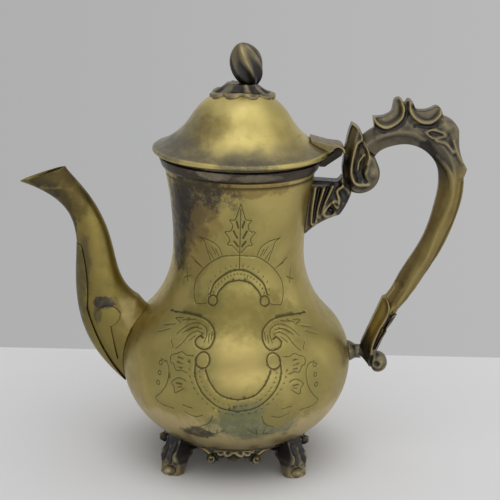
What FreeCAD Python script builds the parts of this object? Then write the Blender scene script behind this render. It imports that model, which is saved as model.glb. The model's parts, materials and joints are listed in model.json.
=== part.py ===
import FreeCAD, Part
import math
import os
import re
import Sketcher

# A brass coffee pot on four cast feet: spun pear-shaped body, swan-neck spout,
# cast scroll handle and a hinged dome lid with a bud finial.
# The origin is on the floor under the body's axis. +X points to the handle,
# -X to the spout and +Z up. Lengths are in millimetres, angles in degrees.

sizes = {
    # spun body
    "belly_radius": 63,
    "belly_height": 56,
    "belly_lower_bend": 45.6,
    "belly_upper_bend": 35,
    "waist_radius": 35.5,
    "waist_height": 120,
    "mouth_height": 170,
    "mouth_bend": 190,
    "mouth_radius": "=waist_radius + mouth_bend - sqrt(mouth_bend^2 - (mouth_height - waist_height)^2)",
    "wall": 1.2,
    "base_inset": 32,
    "base_radius": "=belly_radius - base_inset",
    "base_flange": 7,
    "base_opening_radius": "=base_radius - base_flange",
    "strainer_height": 63,
    "strainer_hole": 5,
    "strainer_pitch": 8.5,
    "bottom_thickness": 1.2,
    "bottom_edge_gap": 0.8,
    "bottom_panel_inset": 12,
    "bottom_panel_radius": "=base_radius - bottom_panel_inset",
    "bottom_panel_rise": 1.4,
    # moulding round the mouth
    "rim_depth": 6.5,
    "rim_thickness": 1.4,
    "rim_gap": 0.1,
    # cast feet and the aprons between them
    "foot_inset": 16.6,
    "foot_spread": "=belly_radius - foot_inset",
    "foot_width": 12.4,
    "foot_length": 7.2,
    "foot_corner": 3.4,
    "corner_trim": 0.8,
    "foot_ankle_length": 5.6,
    "foot_heel_reach": 10.5,
    "foot_heel_height": 9,
    "heel_bend": 1.3,
    "foot_ankle_width": 9.4,
    "foot_ankle_height": 12,
    "foot_top": 29,
    "toe_radius": 3.1,
    "toe_spacing": 6,
    "toe_rise": 1.6,
    "apron_inset": 24.5,
    "apron_radius": "=belly_radius - apron_inset",
    "apron_thickness": 2.4,
    "apron_bottom": 10,
    "apron_arch_radius": 5,
    "apron_arch_centre": 18.5,
    "apron_scallop_radius": 2.6,
    "apron_scallop_centre": 5,
    "apron_volute_height": 11.6,
    "apron_volute_radius": 2.7,
    "apron_volute_spread": 12,
    # swan-neck spout: two tangent arcs that meet upright at the throat
    "spout_standoff": 14.2,
    "spout_throat_x": "=belly_radius + spout_standoff",
    "spout_throat_height": 110,
    "spout_lower_bend": 66,
    "spout_lower_sweep": 62,
    "spout_upper_bend": 55,
    "spout_upper_sweep": 60,
    "spout_root_depth": 44,
    "spout_root_width": 30,
    "spout_throat_depth": 21,
    "spout_throat_width": 15.6,
    "spout_neck_depth": 15.6,
    "spout_neck_width": 11.8,
    "spout_lip_length": 26.5,
    "spout_lip_shift": 1.2,
    "spout_lip_width": 10.6,
    "spout_lip_slope": 19.5,
    "spout_wall": 1.5,
    "leaf_thickness": 0.9,
    "leaf_tip_angle": 7,
    "leaf_tip_bend": 1.2,
    "leaf_waist_angle": 20,
    "leaf_waist_inset": 4.6,
    "leaf_root_angle": 54,
    "leaf_root_inset": 1.5,
    "leaf_margin": 12,
    "cheek_radius": 7.4,
    "cheek_foot_angle": 45,
    "cheek_foot_bend": 0.8,
    "cheek_foot_inset": 8.5,
    "cheek_brow_angle": 23.5,
    "cheek_brow_inset": 8.8,
    "cheek_back_angle": 28,
    "cheek_back_inset": 22.5,
    "cheek_notch_angle": 31,
    "cheek_notch_inset": 15,
    # cast handle: top bend, long lower bend and a straight tail
    "grip_standoff": 24,
    "grip_neck_gap": 44.8,
    "grip_bend_x": "=max(belly_radius + grip_standoff; mouth_radius + grip_neck_gap)",
    "grip_bend_height": 158,
    "grip_bend": 26.5,
    "grip_lower_bend": 90,
    "grip_lower_sweep": 32,
    "grip_tail": 36,
    "grip_start_angle": 140,
    "grip_top_depth": 13,
    "grip_top_width": 10.5,
    "grip_end_depth": 7.6,
    "grip_taper": 0.8,
    "grip_end_width": 8,
    "keel_inner": 0.28,
    "keel_place": 0.12,
    "keel_outer": 0.22,
    "crest_width": 8.4,
    "crest_height": 12,
    "scroll_width": 12,
    "scroll_bevel": 1.2,
    "scroll_horn": 2.4,
    "scroll_horn_reach": 26.2,
    "scroll_horn_x": "=grip_bend_x - scroll_horn_reach",
    "scroll_horn_height": 186.5,
    "scroll_back_bend": 140,
    "scroll_seat_reach": 32.2,
    "scroll_seat_x": "=grip_bend_x - scroll_seat_reach",
    "scroll_seat_height": 160,
    "scroll_heel_reach": 27,
    "scroll_heel_x": "=grip_bend_x - scroll_heel_reach",
    "scroll_heel_height": 151.8,
    "scroll_curl_reach": 13.2,
    "scroll_curl_x": "=grip_bend_x - scroll_curl_reach",
    "scroll_curl_height": 166,
    "scroll_curl_bend": 10.8,
    "scroll_boss_reach": 16.8,
    "scroll_boss_height": 161.8,
    "scroll_boss_radius": 4.8,
    "scroll_boss_width": 13.2,
    "recess_depth": 3.6,
    "recess_bend": 14,
    "recess_top_reach": 22.8,
    "recess_top_height": 177.4,
    "recess_bow_reach": 21.4,
    "recess_bow_height": 169,
    "recess_foot_reach": 23.6,
    "recess_foot_height": 158.6,
    "recess_back_reach": 26.4,
    "recess_back_height": 164.5,
    "bracket_width": 13,
    "bracket_bevel": 2,
    "bracket_top": 158,
    "bracket_bottom": 128,
    "bracket_knee_reach": 33,
    "bracket_knee_x": "=grip_bend_x - bracket_knee_reach",
    "bracket_knee_height": 139,
    "bracket_bend": 40,
    "bracket_lip": 2.4,
    "bracket_lip_drop": 2.8,
    "bracket_toe": 0.5,
    "sheath_width": 12,
    "sheath_bevel": 1.2,
    "sheath_tip_x": 1.6,
    "sheath_tip_rise": 39.6,
    "sheath_tip_bend": 18,
    "sheath_notch_x": 5,
    "sheath_notch_rise": 28,
    "sheath_frond_x": 9.4,
    "sheath_frond_rise": 28.8,
    "sheath_frond_bend": 30,
    "sheath_fork_x": 1,
    "sheath_fork_rise": 20,
    "sheath_barb_x": 3.8,
    "sheath_barb_rise": 18.6,
    "sheath_barb_bend": 24,
    "sheath_neck_x": 1.7,
    "sheath_neck_rise": 5,
    "sheath_chin_x": 5.2,
    "sheath_chin_drop": 3.4,
    "sheath_back_x": 11.4,
    "sheath_back_rise": 3,
    "sheath_hip_x": 9.8,
    "sheath_hip_rise": 10.6,
    "curl_reach": 7.8,
    "curl_x": "=grip_bend_x - curl_reach",
    "curl_height": 54.6,
    "curl_radius": 5.3,
    "curl_width": 12.6,
    "stub_height": 59.5,
    "stub_root_radius": 6,
    "stub_radius": 3.9,
    "stub_bend": 9,
    "stub_length": 3,
    "stub_reach": 15,
    "stub_end_x": "=grip_bend_x - stub_reach",
    # hinge
    "hinge_standoff": 9.3,
    "hinge_x": "=mouth_radius + hinge_standoff",
    "hinge_rise": 3.6,
    "hinge_height": "=mouth_height + hinge_rise",
    "hinge_width": 15,
    "pin_radius": 0.9,
    "pin_clearance": 0.05,
    "pin_head_radius": 1.5,
    "pin_head_length": 0.7,
    "knuckle_radius": 2.3,
    "strap_shoulder": 0.7,
    "strap_tuck": 0.98,
    "knuckle_length": 7,
    "knuckle_gap": 0.2,
    "hinge_clearance": 0.4,
    "hinge_leaf": 1.3,
    "hinge_strap": 1.2,
    "hinge_strap_drop": 4,
    "hinge_leaf_reach": 9.5,
    # lid: dome and cove, tangent arcs that end at the rolled edge
    "lid_overhang": 4.3,
    "lid_radius": "=mouth_radius + lid_overhang",
    "lid_edge_rise": 4.2,
    "lid_edge_height": "=mouth_height + lid_edge_rise",
    "lid_edge_slope": 20,
    "lid_edge_roll": 1.35,
    "edge_tuck": 1.3,
    "edge_reach": 0.5,
    "edge_drop": 1.8,
    "dome_bend": 30.5,
    "dome_rise": 5.5,
    "dome_height": "=mouth_height + dome_rise",
    "crown_radius": 7,
    "bezel_play": 2.2,
    "bezel_radius": "=mouth_radius - wall - bezel_play",
    "bezel_depth": 4.5,
    "bezel_flange": 3.6,
    "lid_seat_gap": 0.2,
    # finial
    "calyx_radius": 18.3,
    "calyx_half_width": 13.2,
    "calyx_edge": 2.2,
    "calyx_lip": 0.5,
    "calyx_rise": 38.6,
    "calyx_height": "=mouth_height + calyx_rise",
    "calyx_top_radius": 7.5,
    "calyx_bend": 16,
    "calyx_leaves": 10,
    "calyx_cleft": 0.9,
    "calyx_lobe_bend": 0.42,
    "bud_height": 21.3,
    "bud_radius": 8.6,
    "bud_lean": 19.5,
    "bud_offset": 5.2,
    "bud_twist": 55,
    "bud_flute": 0.84,
    "bud_lobe_bend": 0.42,
    "bud_widest": 0.47,
    "bud_spread": 0.58,
    "bud_lobe_start": 0.13,
    "bud_lobes": 7,
    "stud_radius": 1.5,
    "stud_grip": 4,
    "stud_overhang": 1,
    "stud_clearance": 0.2,
    "washer_radius": 4.5,
    "washer_thickness": 0.8,
    "nut_flats": 5.5,
    "nut_height": 2.4,
}

doc = FreeCAD.newDocument("CoffeePot")
sheet = doc.addObject("Spreadsheet::Sheet", "Sizes")
for row, (name, size) in enumerate(sizes.items(), start=1):
    sheet.set(f"A{row}", name)
    sheet.set(f"B{row}", str(size))
    sheet.setAlias(f"B{row}", name)
doc.recompute()

nodes = []


def linked(expression):
    """The expression with each size written as a cell of the sheet."""
    return re.sub(r"[a-z]\w*", lambda word: f"Sizes.{word[0]}" if word[0] in sizes else word[0], expression)


def number(expression):
    """What the expression comes to with the sheet's present sizes."""
    return float(sheet.evalExpression(linked(expression)))


def bind(item, **expressions):
    """Binds properties to the sheet. A double underscore stands for a dot in a property's path."""
    for name, expression in expressions.items():
        item.setExpression(name.replace("__", "."), linked(expression))


def node(item, name):
    """Keeps a document object as a sub-part of the pot under its own name."""
    item.Label = name
    nodes.append(item)
    return item


def new_body(name):
    return doc.addObject("PartDesign::Body", name)


def sketch_on(body, plane, offset=("0", "0", "0")):
    """An empty sketch on one of the body's origin planes, moved by offset in the plane's own axes."""
    sketch = body.newObject("Sketcher::SketchObject", f"{body.Name}_sketch")
    attach(body, sketch, plane)
    for axis, expression in zip("xyz", offset):
        if expression != "0":
            bind(sketch, **{f"AttachmentOffset__Base__{axis}": expression})
    return sketch


def hold(sketch, edge, end, axis, expression):
    """Ties one end of an edge to the sketch's origin along DistanceX or DistanceY."""
    if expression == "0":
        line = -2 if axis == "DistanceX" else -1
        sketch.addConstraint(Sketcher.Constraint("PointOnObject", edge, end, line))
        return
    size = number(expression)
    if size > 0:
        constraint = Sketcher.Constraint(axis, -1, 1, edge, end, size)
    else:
        constraint = Sketcher.Constraint(axis, edge, end, -1, 1, -size)
        expression = f"-({expression})"
    sketch.setExpression(f"Constraints[{sketch.addConstraint(constraint)}]", linked(expression))


def outline(sketch, corners):
    """Draws a closed chain of edges. A corner is (x, y), or (x, y, bend, side) where an arc follows it
    that swells to the left or right of the way it runs."""
    points = [FreeCAD.Vector(number(corner[0]), number(corner[1]), 0) for corner in corners]
    edges = []
    for corner, start, end in zip(corners, points, points[1:] + points[:1]):
        if len(corner) == 2:
            edges.append((sketch.addGeometry(Part.LineSegment(start, end)), 1, 2))
            continue
        bend = number(corner[2])
        chord = end - start
        left = FreeCAD.Vector(-chord.y, chord.x, 0).normalize()
        rise = math.sqrt(bend ** 2 - (chord.Length / 2) ** 2)
        anticlockwise = corner[3] == "right"
        centre = (start + end) * 0.5 + left * (rise if anticlockwise else -rise)
        first, last = (start, end) if anticlockwise else (end, start)
        from_angle = math.atan2(first.y - centre.y, first.x - centre.x)
        to_angle = math.atan2(last.y - centre.y, last.x - centre.x)
        if to_angle < from_angle:
            to_angle += 2 * math.pi
        circle = Part.Circle(centre, FreeCAD.Vector(0, 0, 1), bend)
        edge = sketch.addGeometry(Part.ArcOfCircle(circle, from_angle, to_angle))
        edges.append((edge, 1, 2) if anticlockwise else (edge, 2, 1))
    for (edge, _, end), (following, start, _) in zip(edges, edges[1:] + edges[:1]):
        sketch.addConstraint(Sketcher.Constraint("Coincident", edge, end, following, start))
    for corner, (edge, start, _) in zip(corners, edges):
        hold(sketch, edge, start, "DistanceX", corner[0])
        hold(sketch, edge, start, "DistanceY", corner[1])
        if len(corner) == 4:
            radius = Sketcher.Constraint("Radius", edge, number(corner[2]))
            sketch.setExpression(f"Constraints[{sketch.addConstraint(radius)}]", linked(corner[2]))
    return sketch


def circle(sketch, x, y, radius):
    """Draws a circle at a place and size given by expressions."""
    centre = FreeCAD.Vector(number(x), number(y), 0)
    edge = sketch.addGeometry(Part.Circle(centre, FreeCAD.Vector(0, 0, 1), number(radius)))
    hold(sketch, edge, 3, "DistanceX", x)
    hold(sketch, edge, 3, "DistanceY", y)
    size = sketch.addConstraint(Sketcher.Constraint("Radius", edge, number(radius)))
    sketch.setExpression(f"Constraints[{size}]", linked(radius))
    return sketch


def attach(body, item, plane):
    """Sets a sketch or a primitive on one of the body's origin planes."""
    support = next(origin for origin in body.Origin.OriginFeatures if origin.Role == plane)
    item.AttachmentSupport = [(support, "")]
    item.MapMode = "FlatFace"


def revolve(body, sketch, kind="Revolution", axis="V_Axis", angle=360):
    """Turns a sketch about one of its axes, half to each side, as material or as a cut."""
    feature = body.newObject(f"PartDesign::{kind}", f"{body.Name}_{kind.lower()}")
    feature.Profile = sketch
    feature.ReferenceAxis = (sketch, [axis])
    feature.Midplane = True
    feature.Angle = angle
    doc.recompute()
    return feature


def pad(body, sketch, length):
    """Thickens a sketch by the same amount on both sides."""
    feature = body.newObject("PartDesign::Pad", f"{body.Name}_pad")
    feature.Profile = sketch
    feature.SideType = "Symmetric"
    bind(feature, Length=length)
    doc.recompute()
    return feature


def pocket(body, sketch, length, both=True, reverse=False):
    """Cuts a sketch into the body, and stops the build if the cut removes nothing."""
    before = body.Shape.Volume
    feature = body.newObject("PartDesign::Pocket", f"{body.Name}_pocket")
    feature.Profile = sketch
    feature.SideType = "Symmetric" if both else "One side"
    feature.Reversed = reverse
    bind(feature, Length=length)
    doc.recompute()
    if body.Shape.Volume >= before:
        raise RuntimeError(f"{feature.Name} cuts nothing")
    return feature


def drop(body, radius, half_width, centre):
    """Adds a ball that may be wider along Y than it is round."""
    feature = body.newObject("PartDesign::AdditiveEllipsoid", f"{body.Name}_drop")
    attach(body, feature, "XY_Plane")
    bind(feature, Radius1=radius, Radius2=radius, Radius3=half_width, AttachmentOffset__Base__x=centre[0],
         AttachmentOffset__Base__y=centre[1], AttachmentOffset__Base__z=centre[2])
    doc.recompute()
    return feature


def ring(body, feature, axis, copies):
    """Repeats a feature evenly round an axis."""
    pattern = body.newObject("PartDesign::PolarPattern", f"{body.Name}_ring")
    pattern.Originals = [feature]
    pattern.Axis = axis
    pattern.Angle = 360
    bind(pattern, Occurrences=copies)
    body.Tip = pattern
    doc.recompute()
    return pattern


def bevel(body, feature, size):
    """Chamfers the edges of the two flat cheeks that face along Y."""
    cheeks = []
    for index, face in enumerate(feature.Shape.Faces, start=1):
        if face.Surface.TypeId == "Part::GeomPlane" and abs(face.normalAt(0, 0).y) > 0.999:
            cheeks.append(f"Face{index}")
    chamfer = body.newObject("PartDesign::Chamfer", f"{body.Name}_bevel")
    chamfer.Base = (feature, cheeks)
    bind(chamfer, Size=size)
    doc.recompute()
    return chamfer


def boolean(kind, name, base, tool):
    """A Part::Cut, Part::Fuse or Part::Common of two document objects."""
    feature = doc.addObject(f"Part::{kind}", name)
    feature.Base = base
    feature.Tool = tool
    doc.recompute()
    return feature


# Outline of the body of revolution, in radius and height

base_height = (
    "(belly_height - sqrt(belly_lower_bend^2 - (base_radius - belly_radius + belly_lower_bend)^2))"
)
bend_sum = (
    "(((belly_radius - waist_radius)^2 + (waist_height - belly_height)^2)"
    " / (2 * (belly_radius - waist_radius)))"
)
neck_bend = f"({bend_sum} - belly_upper_bend)"


def flare(height, inset="0"):
    """Radius of the flared neck at a height, on the outside or inset into the wall."""
    return f"(waist_radius + mouth_bend - sqrt((mouth_bend + {inset})^2 - ({height} - waist_height)^2))"


def shoulder(inset):
    """The point where the belly's upper arc turns into the neck's hollow arc."""
    share = f"(belly_upper_bend - {inset}) / {bend_sum}"
    radius = f"belly_radius - belly_upper_bend + {share} * (waist_radius - belly_radius + {bend_sum})"
    return radius, f"belly_height + {share} * (waist_height - belly_height)"


def outer_side():
    """The body's outside from the base up to the mouth."""
    return [
        ("base_radius", base_height, "belly_lower_bend", "right"),
        ("belly_radius", "belly_height", "belly_upper_bend", "right"),
        (*shoulder("0"), neck_bend, "left"),
        ("waist_radius", "waist_height", "mouth_bend", "left"),
        ("mouth_radius", "mouth_height"),
    ]


def body_form():
    """Outline of the body as if it were solid, which seats what is soldered to its outside."""
    return [("0", base_height)] + outer_side() + [("0", "mouth_height")]


def seat_on_body(body):
    """Cuts the pot's body out of a piece, so that the piece follows its curve."""
    before = body.Shape.Volume
    revolve(body, outline(sketch_on(body, "XZ_Plane"), body_form()), "Groove")
    if body.Shape.Volume >= before:
        raise RuntimeError(f"{body.Name} does not reach the pot's body")


# Spun body

def make_body_shell():
    body = new_body("body_shell")
    inner_corner = (
        "belly_radius - belly_lower_bend"
        f" + sqrt((belly_lower_bend - wall)^2 - (belly_height - {base_height} - wall)^2)"
    )
    inside = [
        (flare("mouth_height", "wall"), "mouth_height", "mouth_bend + wall", "right"),
        ("waist_radius - wall", "waist_height", f"{neck_bend} + wall", "right"),
        (*shoulder("wall"), "belly_upper_bend - wall", "left"),
        ("belly_radius - wall", "belly_height", "belly_lower_bend - wall", "left"),
        (inner_corner, f"{base_height} + wall"),
        ("base_opening_radius", f"{base_height} + wall"),
        ("base_opening_radius", base_height),
    ]
    revolve(body, outline(sketch_on(body, "XZ_Plane"), outer_side() + inside))
    # strainer: one hole and a ring of six through the wall behind the spout
    centre_offset = ("0", "strainer_height", "0")
    middle = circle(sketch_on(body, "YZ_Plane", centre_offset), "0", "0", "strainer_hole / 2")
    pocket(body, middle, "belly_radius", both=False)
    outer = circle(sketch_on(body, "YZ_Plane", centre_offset), "strainer_pitch", "0", "strainer_hole / 2")
    hole = pocket(body, outer, "belly_radius", both=False)
    ring(body, hole, (outer, ["N_Axis"]), "6")
    return node(body, "body_shell")


def make_bottom_plate():
    body = new_body("bottom_plate")
    edge = (
        "(belly_radius - belly_lower_bend - bottom_edge_gap"
        f" + sqrt((belly_lower_bend - wall)^2 - (belly_height - {base_height} - wall)^2))"
    )
    seat = f"({base_height} + wall)"
    outline(sketch := sketch_on(body, "XZ_Plane"), [
        ("0", f"{seat} + bottom_panel_rise"),
        ("bottom_panel_radius", f"{seat} + bottom_panel_rise"),
        ("bottom_panel_radius + bottom_panel_rise", seat),
        (edge, seat),
        (edge, f"{seat} + bottom_thickness"),
        ("bottom_panel_radius + bottom_panel_rise + bottom_thickness / 2", f"{seat} + bottom_thickness"),
        ("bottom_panel_radius + bottom_thickness / 2", f"{seat} + bottom_panel_rise + bottom_thickness"),
        ("0", f"{seat} + bottom_panel_rise + bottom_thickness"),
    ])
    revolve(body, sketch)
    return node(body, "bottom_plate")


def make_mouth_rim():
    body = new_body("mouth_rim")
    foot = "(mouth_height - rim_depth)"
    inside_foot = f"({flare(foot)} + rim_gap)"
    inside_top = "(mouth_radius + rim_gap)"
    outline(sketch := sketch_on(body, "XZ_Plane"), [
        (inside_foot, foot),
        (f"{inside_foot} + rim_thickness", f"{foot} + rim_thickness"),
        (f"{inside_top} + rim_thickness", "mouth_height - rim_thickness / 2", "rim_thickness", "right"),
        (inside_top, "mouth_height", "mouth_bend - rim_gap", "right"),
    ])
    revolve(body, sketch)
    return node(body, "mouth_rim")


# Feet and aprons

def make_foot(name, azimuth):
    body = new_body(name)
    back = "(foot_spread - foot_length / 2)"
    front = "(foot_spread + foot_length / 2)"
    heel = "(foot_spread - foot_heel_reach)"
    ankle_front = "(foot_spread + foot_ankle_length / 2)"
    side = outline(sketch_on(body, "XZ_Plane"), [
        (back, "0"),
        (front, "0"),
        (front, "toe_radius * 2"),
        (ankle_front, "foot_ankle_height", "foot_top / 2", "left"),
        (f"{ankle_front} + toe_radius / 2", "foot_top"),
        (heel, "foot_top"),
        (heel, "foot_heel_height", "foot_heel_height * heel_bend", "left"),
    ])
    pad(body, side, "foot_width")
    for sign, turn in (("", "right"), ("-", "left")):
        waist = outline(sketch_on(body, "YZ_Plane"), [
            (f"{sign}(foot_width)", "toe_radius * toe_rise"),
            (f"{sign}(foot_width)", "foot_top - toe_radius"),
            (f"{sign}(foot_width / 2)", "foot_top - toe_radius", "foot_top", turn),
            (f"{sign}(foot_ankle_width / 2)", "foot_ankle_height", "foot_top", turn),
            (f"{sign}(foot_width / 2)", "toe_radius * toe_rise"),
        ])
        pocket(body, waist, "2 * (foot_spread + foot_length)")
        corner = outline(sketch_on(body, "XY_Plane"), [
            (f"{front} - foot_corner", f"{sign}(foot_width / 2)"),
            (front, f"{sign}(foot_width / 2 - foot_corner * corner_trim)"),
            (f"{front} + foot_corner", f"{sign}(foot_width / 2)"),
        ])
        pocket(body, corner, "2 * foot_ankle_height")
    for sign in ("", "-"):
        drop(body, "toe_radius", "toe_radius", (front, f"{sign}(toe_spacing / 2)", "toe_radius"))
    seat_on_body(body)
    body.Placement = FreeCAD.Placement(FreeCAD.Vector(), FreeCAD.Rotation(FreeCAD.Vector(0, 0, 1), azimuth))
    return node(body, name)


def make_apron(name, azimuth, feet):
    body = new_body(f"{name}_casting")
    inner = "(apron_radius - apron_thickness / 2)"
    outer = "(apron_radius + apron_thickness / 2)"
    section = outline(sketch_on(body, "XZ_Plane"), [
        (inner, "apron_bottom"),
        (outer, "apron_bottom"),
        (outer, "foot_top"),
        (inner, "foot_top"),
    ])
    revolve(body, section, angle=90)
    for sign in ("", "-"):
        arch = sketch_on(body, "YZ_Plane")
        circle(arch, f"{sign}(apron_arch_centre)", "apron_bottom", "apron_arch_radius")
        pocket(body, arch, "foot_spread", both=False, reverse=True)
        scallop = sketch_on(body, "YZ_Plane")
        circle(scallop, f"{sign}(apron_scallop_centre)", "apron_bottom", "apron_scallop_radius")
        pocket(body, scallop, "foot_spread", both=False, reverse=True)
        drop(body, "apron_volute_radius", "apron_volute_radius",
             ("apron_radius", f"{sign}(apron_volute_spread)", "apron_volute_height"))
    seat_on_body(body)
    body.Placement = FreeCAD.Placement(FreeCAD.Vector(), FreeCAD.Rotation(FreeCAD.Vector(0, 0, 1), azimuth))
    doc.recompute()
    between = boolean("Cut", f"{name}_between", body, feet[0])
    return node(boolean("Cut", name, between, feet[1]), name)


# Spout

def spout_centre(arc, angle):
    """A point on the spout's centre line, by its angle from the upright throat."""
    if arc == "lower":
        return (f"(-spout_throat_x + spout_lower_bend * (1 - cos({angle})))",
                f"(spout_throat_height - spout_lower_bend * sin({angle}))")
    return (f"(-spout_throat_x - spout_upper_bend * (1 - cos({angle})))",
            f"(spout_throat_height + spout_upper_bend * sin({angle}))")


def between(start, end, share):
    return f"({start} + ({end} - {start}) * {share})"


def spout_section(name, centre, slope, depth, width):
    """An upright oval across the spout, its long axis at a slope to the floor."""
    oval = doc.addObject("Part::Ellipse", name)
    oval.Placement = FreeCAD.Placement(FreeCAD.Vector(), FreeCAD.Rotation(FreeCAD.Vector(0, -1, 0), 1))
    bind(oval, MajorRadius=f"{depth} / 2", MinorRadius=f"{width} / 2", Placement__Base__x=centre[0],
         Placement__Base__z=centre[1], Placement__Rotation__Angle=slope)
    return oval


def spout_loft(name, grow):
    """The spout's solid with every section grown all round by the same amount."""
    ovals = []

    def add(centre, slope, depth, width):
        label = f"{name}_section_{len(ovals)}"
        grown_depth = f"({depth} + 2 * {grow})"
        grown_width = f"({width} + 2 * {grow})"
        ovals.append(spout_section(label, centre, slope, grown_depth, grown_width))

    for share in (1, 2 / 3, 1 / 3, 0):
        angle = f"(spout_lower_sweep * {share:.4f})"
        depth = between("spout_throat_depth", "spout_root_depth", f"{share:.4f}")
        width = between("spout_throat_width", "spout_root_width", f"{share:.4f}")
        add(spout_centre("lower", angle), angle, depth, width)
    for share in (0.45, 0.75):
        angle = f"(spout_upper_sweep * {share})"
        add(spout_centre("upper", angle), angle, "spout_neck_depth", "spout_neck_width")
    crown = spout_centre("upper", "spout_upper_sweep")
    lip = (f"({crown[0]} - spout_lip_shift * cos(spout_lip_slope))",
           f"({crown[1]} - spout_lip_shift * sin(spout_lip_slope))")
    add(lip, "spout_lip_slope", "spout_lip_length", "spout_lip_width")
    loft = doc.addObject("Part::Loft", name)
    loft.Sections = ovals
    loft.Solid = True
    doc.recompute()
    return loft


def spout_point(angle, inside):
    """A point of the spout's side view, set in from its front edge at an angle below the throat."""
    front = between("spout_throat_depth", "spout_root_depth", f"({angle} / spout_lower_sweep)")
    reach = f"(spout_lower_bend + {front} / 2 - {inside})"
    return (f"-spout_throat_x + spout_lower_bend - {reach} * cos({angle})",
            f"spout_throat_height - {reach} * sin({angle})")


def make_spout(vessel):
    outside = spout_loft("spout_outside", "0")
    # the bore has the outside's own sections, so that the wall between them stays even
    bore = spout_loft("spout_bore", "(-spout_wall)")
    seated = boolean("Cut", "spout_seated", outside, vessel)
    tube = node(boolean("Cut", "spout_tube", seated, bore), "spout_tube")
    # applied ornament lies in a thin skin round the lower spout
    grown = boolean("Cut", "spout_grown", spout_loft("spout_skin_outside", "leaf_thickness"), outside)
    skin = boolean("Cut", "spout_skin", grown, vessel)
    leaf = new_body("spout_leaf_outline")
    pad(leaf, outline(sketch_on(leaf, "XZ_Plane"), [
        (*spout_point("(-leaf_tip_angle)", "0"), "spout_lower_bend * leaf_tip_bend", "left"),
        (*spout_point("leaf_waist_angle", "leaf_waist_inset"), "spout_lower_bend * 2", "right"),
        spout_point("leaf_root_angle", "leaf_root_inset"),
        spout_point("leaf_root_angle", "(-leaf_margin)"),
        spout_point("leaf_waist_angle", "(-2 * leaf_margin)"),
        spout_point("(-leaf_tip_angle)", "(-leaf_margin / 2)"),
    ]), "2 * spout_root_width")
    node(boolean("Common", "spout_front_leaf", skin, leaf), "spout_front_leaf")
    for name, far in (("spout_cheek_near", False), ("spout_cheek_far", True)):
        cheek = new_body(f"{name}_outline")
        shape = outline(sketch_on(cheek, "XZ_Plane"), [
            (*spout_point("cheek_foot_angle", "cheek_foot_inset"),
             "spout_lower_bend * cheek_foot_bend", "left"),
            (*spout_point("cheek_brow_angle", "cheek_brow_inset"), "cheek_radius", "left"),
            (*spout_point("cheek_back_angle", "cheek_back_inset"), "cheek_radius", "left"),
            spout_point("cheek_notch_angle", "cheek_notch_inset"),
        ])
        block = pad(cheek, shape, "spout_root_width")
        block.SideType = "One side"
        block.Reversed = far
        doc.recompute()
        node(boolean("Common", name, skin, cheek), name)
    return tube


# Handle

def grip_polar(angle, radius):
    """A point by angle and radius about the centre of the handle's top bend."""
    return f"grip_bend_x + ({radius}) * cos({angle})", f"grip_bend_height + ({radius}) * sin({angle})"


def grip_section(body, centre, slope, depth, width):
    """A keeled six-sided section of the grip, narrower on the inside and the outside of the bend."""
    sketch = sketch_on(body, "XY_Plane")
    sketch.AttachmentOffset = FreeCAD.Placement(
        FreeCAD.Vector(), FreeCAD.Rotation(FreeCAD.Vector(0, -1, 0), 1))
    bind(sketch, AttachmentOffset__Base__x=centre[0], AttachmentOffset__Base__z=centre[1],
         AttachmentOffset__Rotation__Angle=slope)
    return outline(sketch, [
        (f"-{depth} / 2", f"-{width} * keel_inner"),
        (f"{depth} * keel_place", f"-{width} / 2"),
        (f"{depth} / 2", f"-{width} * keel_outer"),
        (f"{depth} / 2", f"{width} * keel_outer"),
        (f"{depth} * keel_place", f"{width} / 2"),
        (f"-{depth} / 2", f"{width} * keel_inner"),
    ])


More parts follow.
